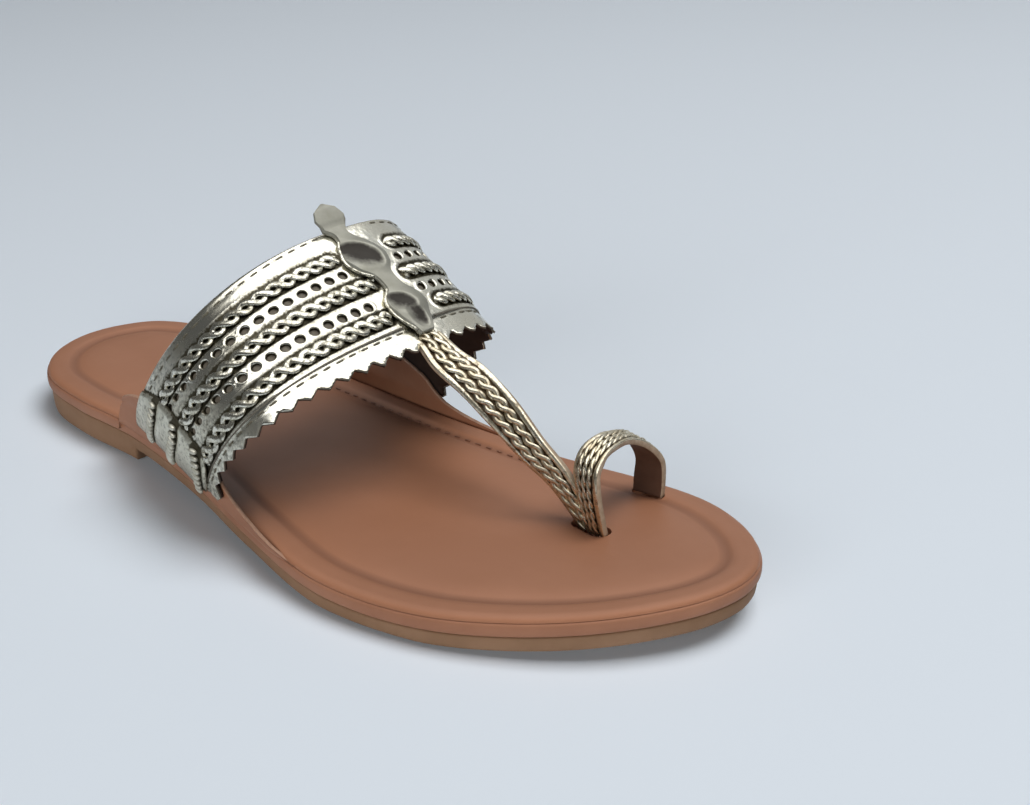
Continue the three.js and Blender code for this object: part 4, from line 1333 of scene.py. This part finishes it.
def plait(length, place, swing=1.6, lift=0.34, period=TWIST_PERIOD, shift=0.0):
    """Lines and outward vectors of a plait. place(along, sideways, height) gives points and vectors."""
    count = max(int(length / PLAIT_STEP), 8)
    along = np.linspace(0, length, count)
    lines, ups = [], []
    for k in range(CORDS_IN_PLAIT):
        phase = 2 * math.pi * (along / period + k / CORDS_IN_PLAIT) + shift
        points, outwards = place(along, swing * np.sin(phase), lift * np.cos(phase))
        lines.append(points)
        ups.append(outwards)
    return lines, ups


def braid_places(braid):
    """Where a braid runs: two stretches, each a start and an end in millimetres of arc."""
    a = (braid["low"] + braid["high"]) / 2
    seam = float(along_table(PANEL_EDGE, 1, a)) + 0.012
    outer_foot = -seam * float(np.interp(a, SECTIONS, HALF_ARC[-1]))
    inner_foot = seam * float(np.interp(a, SECTIONS, HALF_ARC[1]))
    return a, ((outer_foot, braid["outer_end"] - 1.4), (braid["inner_start"] + 1.2, inner_foot))


INNER_GAUGE = 0.76
braid_lines, braid_ups = [], []
for number, braid in enumerate(BRAIDS.values()):
    middle, stretches = braid_places(braid)
    for start, end in stretches:
        def on_band(along, sideways, height, middle=middle, start=start, end=end):
            a = middle + sideways / 0.88
            t = share_at(a, start + along)
            outwards = band_axes(a, t)[2]
            near_end = np.minimum(along, end - start - along)
            dive = 0.55 * smooth_step(2.6, 0, near_end)
            return band_offset(a, t, height + 0.05 - dive), outwards
        gauge = INNER_GAUGE if start > 0 else 1
        lines, ups = plait(
            end - start, on_band, swing=1.6 * gauge, period=TWIST_PERIOD * gauge, shift=1.1 * number)
        braid_lines += lines
        braid_ups += ups
braids = cords("band_braids", braid_lines, braid_ups, 2.0, 1.05)
hand_in(braids)

# %% [markdown]
# ## Stitches
# A stitch is the same tiny lozenge again and again, so Geometry Nodes place it: one row of points at the
# stitch pitch, each with its outward and forward vectors.

# %% Stitch rows of the band
STITCH_PITCH = 4.1


def arch_row(a_of_t, start, end, pitch, height):
    """Points every so many millimetres along the arch, with outward and along vectors."""
    t_line = np.linspace(start, end, 400)
    line = band_point(a_of_t(t_line), t_line)
    along = arc_lengths(line)
    wanted = np.arange(pitch / 2, along[-1], pitch)
    t = np.interp(wanted, along, t_line)
    a = a_of_t(t)
    direction = unit(band_point(a_of_t(t + 0.003), np.clip(t + 0.003, -1, 1)) - band_point(a, t))
    return band_offset(a, t, np.full(t.shape, height)), band_axes(a, t)[2], direction


stitch = capsule("stitch_shape", 2.3, 0.62, 0.42)
rows_of_stitches = [
    arch_row(back_stitch_a, -0.80, -0.015, STITCH_PITCH, -0.06),
    arch_row(back_stitch_a, 0.13, 0.80, STITCH_PITCH, -0.06),
    arch_row(front_stitch_a, -0.93, -0.05, STITCH_PITCH, -0.46),
    arch_row(front_stitch_a, 0.13, 0.93, STITCH_PITCH, -0.46),
]
stitch_rows = (np.concatenate(part) for part in zip(*rows_of_stitches))
stitches = row_of("band_stitches", stitch, *stitch_rows, "thread")
hand_in(stitches)

# %% [markdown]
# Two layers of leather meet where the pinked strip comes out from under the band. A very thin dark cord along
# that edge is painted shade: it draws the line where the upper layer shades the strip below.

# %% Cut edge of the upper layer, above the pinked strip
edge_lines, edge_ups = [], []
for start, end in ((-0.93, -0.03), (0.12, 0.93)):
    t = np.linspace(start, end, 160)
    a = layer_edge_a(t) + 0.1
    edge_lines.append(band_offset(a, t, np.full(t.shape, -0.14)))
    edge_ups.append(band_axes(a, t)[2])
layer_edge = cords("band_layer_edge", edge_lines, edge_ups, 0.5, 0.42, sides=6, key="dark_edge")
hand_in(layer_edge)

# %% [markdown]
# ## Side panels
# At each foot of the band a plain panel covers the ends of the braids. Its upper edge is a diagonal seam,
# and three short ropes, whipped round and round with foil, run down it. The panel is a grid between the
# seam and the foot, with rounded edges; the rungs of the ropes are set by the row tree.

# %% Panels
PANEL_LIFT = 0.95
# a, t of three points down each rope
ROPES = [
    [(74.1, 0.792), (76, 0.845), (76, 0.968)],
    [(87.4, 0.783), (89.9, 0.842), (88.5, 0.988)],
    [(99.3, 0.805), (102.9, 0.875), (106.0, 0.990)],
]
ROPE_PITCH = 1.9


def rope_line(rope, side, count=40):
    share = np.linspace(0, 1, count)
    keys = [(0, *rope[0]), (0.35, *rope[1]), (1, *rope[2])]
    return along_table(keys, 1, share), side * along_table(keys, 2, share)


def panel(side):
    last_a = PANEL_EDGE[-1][0]
    first_a = BAND_BACK + 0.2
    across = np.array([0, 0.004, 0.012] + list(np.linspace(0.03, 0.985, 60)) + [0.992, 1])
    down = np.array([0, 0.012, 0.035] + list(np.linspace(0.08, 0.97, 26)) + [0.99, 1])
    a = first_a + (last_a - first_a) * across[:, None] + 0 * down
    seam = along_table(PANEL_EDGE, 1, a)
    t = side * (seam + (0.998 - seam) * down)
    round_down = np.minimum(smooth_step(-0.01, 0.09, down), smooth_step(-0.004, 0.02, 1 - down))
    round_across = np.minimum(smooth_step(-0.008, 0.02, across), smooth_step(-0.01, 0.02, 1 - across))
    edge = np.minimum(round_down[None, :], round_across[:, None])
    height = 0.2 + (PANEL_LIFT - 0.2) * edge
    # Painted shade along the seam at the top and in the groove round each rope; the panel is also darker
    # towards its foot.
    shade = 0.75 * smooth_step(0.035, 0.0, down) + 0 * a
    shade = np.maximum(shade, 0.35 * smooth_step(0.8, 1.0, down))
    for rope in ROPES:
        rope_a, rope_t = rope_line(rope, side)
        near = np.min(np.hypot((a[..., None] - rope_a) * 0.93, (t[..., None] - rope_t) * 90), axis=-1)
        height = height - 0.35 * smooth_step(2.2, 1.6, near)
        shade = np.maximum(shade, 0.8 * smooth_step(2.2, 1.7, near))
    top = band_offset(a, t, height)
    under = band_offset(a, t, np.full(a.shape, 0.08))
    points, faces = sheet_between(top, under)
    name = "side_panel_outer" if side < 0 else "side_panel_inner"
    piece = mesh_from(name, points, faces, ["gold_panel"], np.r_[shade.ravel(), shade.ravel()])
    return face_outwards(piece)


hand_in(panel(-1), ["side_panel_lateral"])
hand_in(panel(1), ["side_panel_medial"])

rung = capsule("rung_shape", 3.0, 1.45, 1.6, around=10, rings=6)
rung_rows = []
for side in (-1, 1):
    for rope in ROPES:
        rope_a, rope_t = rope_line(rope, side, 200)
        line = band_point(rope_a, rope_t)
        along = arc_lengths(line)
        wanted = np.arange(ROPE_PITCH / 2, along[-1], ROPE_PITCH)
        a, t = np.interp(wanted, along, rope_a), np.interp(wanted, along, rope_t)
        run = unit(np.column_stack([np.interp(wanted, along, np.gradient(line[:, k])) for k in range(3)]))
        up = band_axes(a, t)[2]
        rung_rows.append((band_offset(a, t, np.full(t.shape, 1.3)), up, np.cross(run, up)))
rope_rows = (np.concatenate(part) for part in zip(*rung_rows))
rungs = row_of("side_panel_ropes", rung, *rope_rows, "gold_rung")
hand_in(rungs)

# %% [markdown]
# ## Toe strap and toe loop
# Both straps are a strip of foil leather on a brown backing, with a pale cut edge between. The strap turns
# on its own line, from flat under the crest to upright at the toe post, so a width vector travels along
# with the centre line. A shallow channel along the middle of each strip takes fine plaits.

# %% Strap surfaces
# x, y, z of the outer face's centre, width, twist in degrees
TOE_STRAP = [
    (145, 3.5, 51.5, 9.5, 0), (152, 3, 49, 9.5, 0), (158, 2, 46, 9.5, 15), (166, 2, 42.5, 9.5, 38),
    (176, 2, 36, 9.5, 62), (185.5, 2.5, 28, 9, 80), (193, 3.5, 22, 8.5, 92), (198.5, 4.5, 15, 8, 100),
    (203, 6, 7.5, 7, 104),
]
# x, y, z of the centre, vector from the back edge to the front edge
TOE_LOOP = [
    (204.5, 5, 8, 8, -2.5, 1.5), (204.5, 3, 13.5, 9, -3, 0.5), (203, 2, 25, 10.5, -4, -2),
    (202.5, 4, 29.5, 10, -6, -2.5), (202.5, 8.5, 32, 8.5, -7.5, -1.5), (202, 14.5, 32, 7.5, -8, 0.5),
    (201, 22, 30, 7.5, -7, 2.5), (201.5, 28, 25.5, 8.5, -4.5, 4), (202, 31.5, 20, 9.5, -1.5, 3),
    (202, 31.5, 14, 9.5, 0, 1.5), (202, 31, 8, 9, 0, 0),
]
STRAP_THICKNESS = 1.8


def open_curve(points, steps):
    """Centripetal curve through points that don't close up, as a line with steps points between two."""
    points = np.asarray(points, float)
    extended = np.vstack([2 * points[:1] - points[1:2], points, 2 * points[-1:] - points[-2:-1]])
    line = []
    for k in range(len(points) - 1):
        p0, p1, p2, p3 = extended[k:k + 4]
        d0, d1, d2 = (max(np.linalg.norm(q), 1e-6) ** 0.5 for q in (p1 - p0, p2 - p1, p3 - p2))
        m1 = ((p1 - p0) / d0 - (p2 - p0) / (d0 + d1) + (p2 - p1) / d1) * d1
        m2 = ((p2 - p1) / d1 - (p3 - p1) / (d1 + d2) + (p3 - p2) / d2) * d1
        u = np.linspace(0, 1, steps, endpoint=k == len(points) - 2)[:, None]
        cubic = (2 * p1 - 2 * p2 + m1 + m2) * u**3 + (3 * p2 - 3 * p1 - 2 * m1 - m2) * u**2
        line.append(cubic + m1 * u + p1)
    return np.concatenate(line)


def toe_strap_line():
    table = np.array(TOE_STRAP, float)
    line = open_curve(table[:, :3], 16)
    tangents = []
    for spot in table[:, :3]:
        k = int(np.argmin(((line - spot) ** 2).sum(1)))
        tangents.append(unit(line[min(k + 1, len(line) - 1)] - line[max(k - 1, 0)]))
    widths = []
    for tangent, width, twist in zip(tangents, table[:, 3], np.radians(table[:, 4])):
        wide = unit(np.array([0, 1.0, 0]) - tangent * tangent[1])
        turned = wide * math.cos(twist) + np.cross(tangent, wide) * math.sin(twist)
        widths.append(turned * width)
    return line, open_curve(widths, 16)


def toe_loop_line():
    table = np.array(TOE_LOOP, float)
    return open_curve(table[:, :3], 12), open_curve(-table[:, 3:], 12)


class Strap:
    """A strap's centre line, width vectors and outward vectors, read at any length along it."""

    def __init__(self, line, widths, bulge):
        self.line, self.widths, self.bulge = line, widths, bulge
        self.along = arc_lengths(line)
        self.length = self.along[-1]

    def frame(self, at):
        centre = np.column_stack([np.interp(at, self.along, self.line[:, k]) for k in range(3)])
        wide = np.column_stack([np.interp(at, self.along, self.widths[:, k]) for k in range(3)])
        ahead = np.column_stack([np.interp(at + 0.6, self.along, self.line[:, k]) for k in range(3)])
        behind = np.column_stack([np.interp(at - 0.6, self.along, self.line[:, k]) for k in range(3)])
        return centre, wide, unit(np.cross(unit(ahead - behind), wide))

    def place(self, at, share, height):
        """Points at a share of the width, -0.5 to 0.5, and a height over the outer face."""
        centre, wide, outwards = self.frame(at)
        crown = self.bulge * (1 - 4 * share**2)
        return centre + wide * share[:, None] + outwards * (crown + height)[:, None], outwards

    def sideways(self, at, millimetres, height):
        wide = np.linalg.norm(self.frame(at)[1], axis=1)
        return self.place(at, millimetres / wide, height)


# share of the width, height over the outer face, finish of the face that follows
STRAP_SECTION = [
    (-0.5, -0.32, 0), (-0.485, -0.1, 0), (-0.455, 0.0, 0), (-0.41, 0.02, 0), (-0.37, 0.0, 0),
    (-0.33, -0.22, 0), (-0.27, -0.3, 0), (0.0, -0.3, 0), (0.27, -0.3, 0), (0.33, -0.22, 0), (0.37, 0.0, 0),
    (0.41, 0.02, 0),
    (0.455, 0.0, 0), (0.485, -0.1, 0), (0.5, -0.32, 1), (0.5, -0.9, 1), (0.5, -1.4, 1), (0.475, -1.72, 2),
    (0.43, -STRAP_THICKNESS, 2), (0.2, -STRAP_THICKNESS, 2), (-0.2, -STRAP_THICKNESS, 2),
    (-0.43, -STRAP_THICKNESS, 2), (-0.475, -1.72, 1), (-0.5, -1.4, 1), (-0.5, -0.9, 1),
]


def strap_piece(name, strap, start, end, keys):
    at = np.linspace(start, end, int((end - start) / 0.7))
    loops, shades = [], []
    for share, height, _ in STRAP_SECTION:
        loops.append(strap.place(at, np.full(at.shape, share), np.full(at.shape, height))[0])
        # The channel floor and its sloping sides get painted shade.
        shades.append(np.full(at.shape, 0.85 if height in (-0.3, -0.22) else 0.0))
    points = np.array(loops).transpose(1, 0, 2)
    rows, columns = points.shape[:2]
    finish_of = [STRAP_SECTION[j][2] for _ in range(rows - 1) for j in range(columns)] + [1, 1]
    shade = np.array(shades).T.ravel()
    piece = mesh_from(name, points.reshape(-1, 3), tube_faces(rows, columns), keys, shade, finish_of)
    return face_outwards(piece)


strap = Strap(*toe_strap_line(), 0.35)
loop = Strap(*toe_loop_line(), 0.2)
print("strap and loop length, mm:", round(strap.length, 1), round(loop.length, 1))
STRAP_START = 0.5
STRAP_STOP = strap.length - 3.0
LOOP_START = 2.6
LOOP_STOP = loop.length - 2.2
strap_finishes = ["gold_strap", "cut_edge", "strap_back"]
hand_in(strap_piece("toe_strap", strap, STRAP_START, STRAP_STOP, strap_finishes))
hand_in(strap_piece("toe_loop", loop, LOOP_START, LOOP_STOP, strap_finishes))

# %% [markdown]
# The straps carry the same kind of plait as the band, only finer: two side by side on the strap and three on
# the loop. The same function makes them, and only their size and the place where they run differ.

# %% Fine plaits on the straps
def plait_on(strap, start, end, offset, share_of_width, swing, period, lift, shift):
    """A plait on a strap, moved sideways by a share of the strap's width."""
    def on_strap(along, sideways, height):
        wide = np.linalg.norm(strap.frame(start + along)[1], axis=1)
        return strap.place(start + along, (sideways + offset * share_of_width * wide) / wide, height)
    return plait(end - start, on_strap, swing=swing, lift=lift, period=period, shift=shift)


fine_lines, fine_ups = [], []
for offset, shift in ((-1, 0.0), (1, 1.7)):
    lines, ups = plait_on(strap, STRAP_START, STRAP_STOP, offset, 0.165, 0.80, 7.4, 0.3, shift)
    fine_lines += lines
    fine_ups += ups
strap_plaits = cords("toe_strap_plaits", fine_lines, fine_ups, 1.5, 0.85, sides=6, key="gold_strap")
hand_in(strap_plaits)

loop_lines, loop_ups = [], []
for offset, shift in ((-1, 0.0), (0, 1.3), (1, 2.6)):
    lines, ups = plait_on(loop, LOOP_START, LOOP_STOP, offset, 0.215, 0.46, 6.0, 0.24, shift)
    loop_lines += lines
    loop_ups += ups
loop_plaits = cords("toe_loop_plaits", loop_lines, loop_ups, 1.05, 0.7, sides=6, key="gold_strap")
hand_in(loop_plaits)

# %% [markdown]
# ## The ornament on the crest
# A strip of duller foil runs over the crest, from a pointed tab that stands up at the back to a tail at
# the front. Two raised lobes swell out of it. Scoops are pressed into them and darkened with painted shade,
# and a thin cord edges each lobe.

# %% Ornament surface
# a, centre y, half-width, swell
ORNAMENT = [
    (65, 5, 4, 0), (68, 5, 2.5, 0), (71, 5, 3, 0.3), (74.5, 5, 5, 1), (80.5, 5, 7, 2),
    (85.5, 5, 6, 1.2), (89, 5, 3.5, 0.3), (92, 5, 3, 0), (95.5, 5, 3.5, 0.2), (99, 4.5, 6, 1),
    (104, 4.5, 7, 1.8), (108.5, 4, 5.5, 1), (112, 4, 4, 0.2), (114.5, 3.5, 3, 0),
]
# back and up from the band's back edge, half-width
TAB = [
    (4, 6.4, 0.3), (2.75, 5.25, 3.6), (2.6, 5.1, 3.75), (0.95, 3.45, 4.95), (0.7, 3.2, 4.95),
    (-0.4, 2.2, 4.5),
]
ORNAMENT_THICKNESS = 1.4
OVERLAY_GAP = 0.45
ARC_TO_SHARE = 92


def ornament_share(a, u):
    """Place t of a point at a share u of the ornament's half-width."""
    centre = along_table(ORNAMENT, 1, a) - along_table(INSTEP, 1, a)
    return (centre + u * along_table(ORNAMENT, 2, a)) / ARC_TO_SHARE


# a, y of its middle, turn from the band's axis in degrees, half-length, half-width, depth, darkness of its
# painted shade
SCOOPS = [
    (79.9, 3.0, 36, 7.6, 4.9, 1.8, 0.98),
    (102.3, 1.6, 42, 5.2, 4.0, 1.1, 0.85),
    (108.6, 3.4, 20, 4.4, 3.2, 0.9, 0.8),
]


def scoop_reach(scoop, a, y):
    """0 in the middle of a scoop and 1 at its rim, and how far a point is on the steep inner side."""
    middle_a, middle_y, turn, half_length, half_width = scoop[:5]
    along, sideways = (a - middle_a) * 0.88, y - middle_y
    c, s = math.cos(math.radians(turn)), math.sin(math.radians(turn))
    long_way, short_way = (c * along + s * sideways) / half_length, (c * sideways - s * along) / half_width
    return np.hypot(long_way, short_way), smooth_step(-0.35, 0.45, short_way)


def lobe_relief(a, u):
    """Dome, scoops and rim of the lobes over the flat thickness, and the painted shade in the scoops."""
    y = along_table(ORNAMENT, 1, a) + u * along_table(ORNAMENT, 2, a)
    swell = along_table(ORNAMENT, 3, a)
    relief = swell * (1 - u * u) ** 0.8
    relief += 0.28 * smooth_step(0.2, 1.0, swell) * np.exp(-(((u + 0.95) / 0.06) ** 2))
    dark = 0 * a
    for scoop in SCOOPS:
        reach, inner_side = scoop_reach(scoop, a, y)
        reach = np.minimum(reach, 1)
        crisp, soft = 1 - reach ** 3, (1 - reach * reach) ** 1.5
        relief -= scoop[5] * (soft + (crisp - soft) * inner_side)
        outer_dark, inner_dark = 0.75 * (1 - reach ** 1.6), 1 - reach ** 7
        dark = np.maximum(dark, scoop[6] * (outer_dark + (inner_dark - outer_dark) * inner_side))
    return relief, dark


def ornament():
    u = np.sin(np.linspace(-math.pi / 2, math.pi / 2, 61))
    stations = np.linspace(ORNAMENT[0][0], ORNAMENT[-1][0], 190)
    rim_point = band_point(BAND_BACK, (ORNAMENT[0][1] - INSTEP[0][1]) / ARC_TO_SHARE)
    tops, unders = [], []
    for back, up, half in TAB:
        cup = 0.12 * (1 - u * u)
        for depth, rows in ((0, tops), (ORNAMENT_THICKNESS * 0.62, unders)):
            x = rim_point[0] - back - depth * 0.7 + cup * 0.6 + 0 * u
            z = rim_point[2] + up - depth * 0.7 + 0 * u
            rows.append(np.column_stack([x, rim_point[1] + half * u, z]))
    a, uu = np.meshgrid(stations, u, indexing="ij")
    t = ornament_share(a, uu)
    round_edge = 0.55 * smooth_step(0.9, 1.0, np.abs(uu))
    relief, dark = lobe_relief(a, uu)
    top = band_offset(a, t, OVERLAY_GAP + ORNAMENT_THICKNESS * 0.75 + relief - round_edge)
    under = band_offset(a, t, np.full(a.shape, OVERLAY_GAP * 0.4))
    # The scoops' painted shade goes on the top face only.
    dark = np.concatenate([np.zeros((len(TAB), u.size)), dark]).ravel()
    tops = np.concatenate([np.array(tops), top])
    unders = np.concatenate([np.array(unders), under])
    points, faces = sheet_between(tops, unders)
    piece = mesh_from("crest_ornament_foil", points, faces, ["gold_dull"], np.r_[dark, 0 * dark])
    return face_outwards(piece)


hand_in(ornament(), ["crest_ornament"])

# %% [markdown]
# The thin cord follows one edge of each lobe and then turns across the tip, so its path is the lobe's own
# edge with a short curve added.

# %% Corded edge of the lobes
LOBES = [(71.5, 88.7), (95.2, 112.5)]
piping_lines, piping_ups = [], []
for first, last in LOBES:
    a = np.linspace(first, last, 200)
    u = np.full(200, -1.0)
    turn = np.linspace(0, 1, 120)[1:]
    a = np.r_[a, last + 0.9 * np.sin(turn * math.pi / 2)]
    u = np.r_[u, -1 + 1.75 * turn]
    t = ornament_share(a, u)
    piping_lines.append(band_offset(a, t, np.full(t.shape, 0.9)))
    piping_ups.append(band_axes(a, t)[2])
piping = cords("crest_ornament_piping", piping_lines, piping_ups, 0.95, 0.85, sides=8)
hand_in(piping)

# %% [markdown]
# ## Floor, light and camera
# A mirror-like foil is lit by what it reflects, so the lights are large: a wide soft box overhead makes
# the white blaze on the crest, the pale floor fills the foot of the band, and the dim room in between
# gives the dark olive. A soft card behind the shoe is mirrored in the faces that look away from the box.

# %% Floor and room
FLOOR_RADIUS = 14
FLOOR_SIDES = 96
floor_mesh = bpy.data.meshes.new("floor")
circle_angle = np.linspace(0, 2 * math.pi, FLOOR_SIDES, endpoint=False)
floor_points = np.column_stack([np.cos(circle_angle), np.sin(circle_angle), 0 * circle_angle]) * FLOOR_RADIUS
floor_mesh.from_pydata(floor_points.tolist(), [], [tuple(range(FLOOR_SIDES))])
floor = bpy.data.objects.new("floor", floor_mesh)
bpy.context.scene.collection.objects.link(floor)
paper = bpy.data.materials.new("pale_paper")
paper.use_nodes = True
paper_shader = paper.node_tree.nodes["Principled BSDF"]
paper_shader.inputs["Base Color"].default_value = (0.795, 0.865, 0.94, 1)
paper_shader.inputs["Roughness"].default_value = 0.75
paper_shader.inputs["Specular IOR Level"].default_value = 0.15
floor_mesh.materials.append(paper)

world = bpy.data.worlds.new("dim_room")
world.use_nodes = True
world.node_tree.nodes["Background"].inputs["Color"].default_value = (0.92, 0.94, 0.95, 1)
world.node_tree.nodes["Background"].inputs["Strength"].default_value = 0.10
world.cycles_visibility.diffuse = False
bpy.context.scene.world = world
bpy.context.scene.view_settings.view_transform = "Standard"


def soft_box(name, location, towards, width, height, power, colour=(1, 1, 1)):
    """A rectangular area light that the camera itself does not see."""
    lamp = bpy.data.lights.new(name, "AREA")
    lamp.shape = "RECTANGLE"
    lamp.size, lamp.size_y = width, height
    lamp.energy = power
    lamp.color = colour
    box = bpy.data.objects.new(name, lamp)
    box.location = location
    box.rotation_euler = (Vector(towards) - Vector(location)).to_track_quat("-Z", "Y").to_euler()
    box.visible_camera = False
    bpy.context.scene.collection.objects.link(box)
    return box


overhead = soft_box("overhead_box", (0.1, 0.2, 3), (0.1, 0.2, 0), 5.4, 5.4, 190)
overhead.visible_diffuse = False
key_light = soft_box("key_box", (0.7, 0.4, 2.2), (0, 0, 0), 1.5, 1.5, 42)
key_light.visible_glossy = False
fill_light = soft_box("fill_box", (0.7, -1.75, 0.5), (0.05, 0, 0.02), 1.8, 0.8, 23)
fill_light.visible_glossy = False
back_card = soft_box("back_card", (-1.0, 2.6, 1.25), (0, 0, 0.03), 4.4, 2.5, 14, (0.95, 0.98, 1))
back_card.visible_diffuse = False

# %% [markdown]
# A camera looks along its own negative Z. Its turn is worked out from the line between where it stands and
# what it looks at, and a small roll is added last.

# %% Camera
CAMERA_AT = (295.5, -266.5, 204)
CAMERA_TARGET = (19, 50, 15)
CAMERA_ROLL = -0.6
SENSOR_WIDTH = 36
FOCAL_LENGTH = 56
lens = bpy.data.cameras.new("camera")
lens.sensor_width = SENSOR_WIDTH
lens.lens = FOCAL_LENGTH
lens.clip_start = 0.01
camera = bpy.data.objects.new("camera", lens)
look = Vector(CAMERA_TARGET) - Vector(CAMERA_AT)
upright = look.to_track_quat("-Z", "Y").to_matrix().to_4x4()
camera.matrix_world = (
    Matrix.Translation(Vector(CAMERA_AT) * MM) @ upright @ Matrix.Rotation(math.radians(CAMERA_ROLL), 4, "Z")
)
bpy.context.scene.collection.objects.link(camera)
bpy.context.scene.camera = camera

# %% [markdown]
# The last cell brings the scene up to date.

# %% Scene update
bpy.context.view_layer.update()
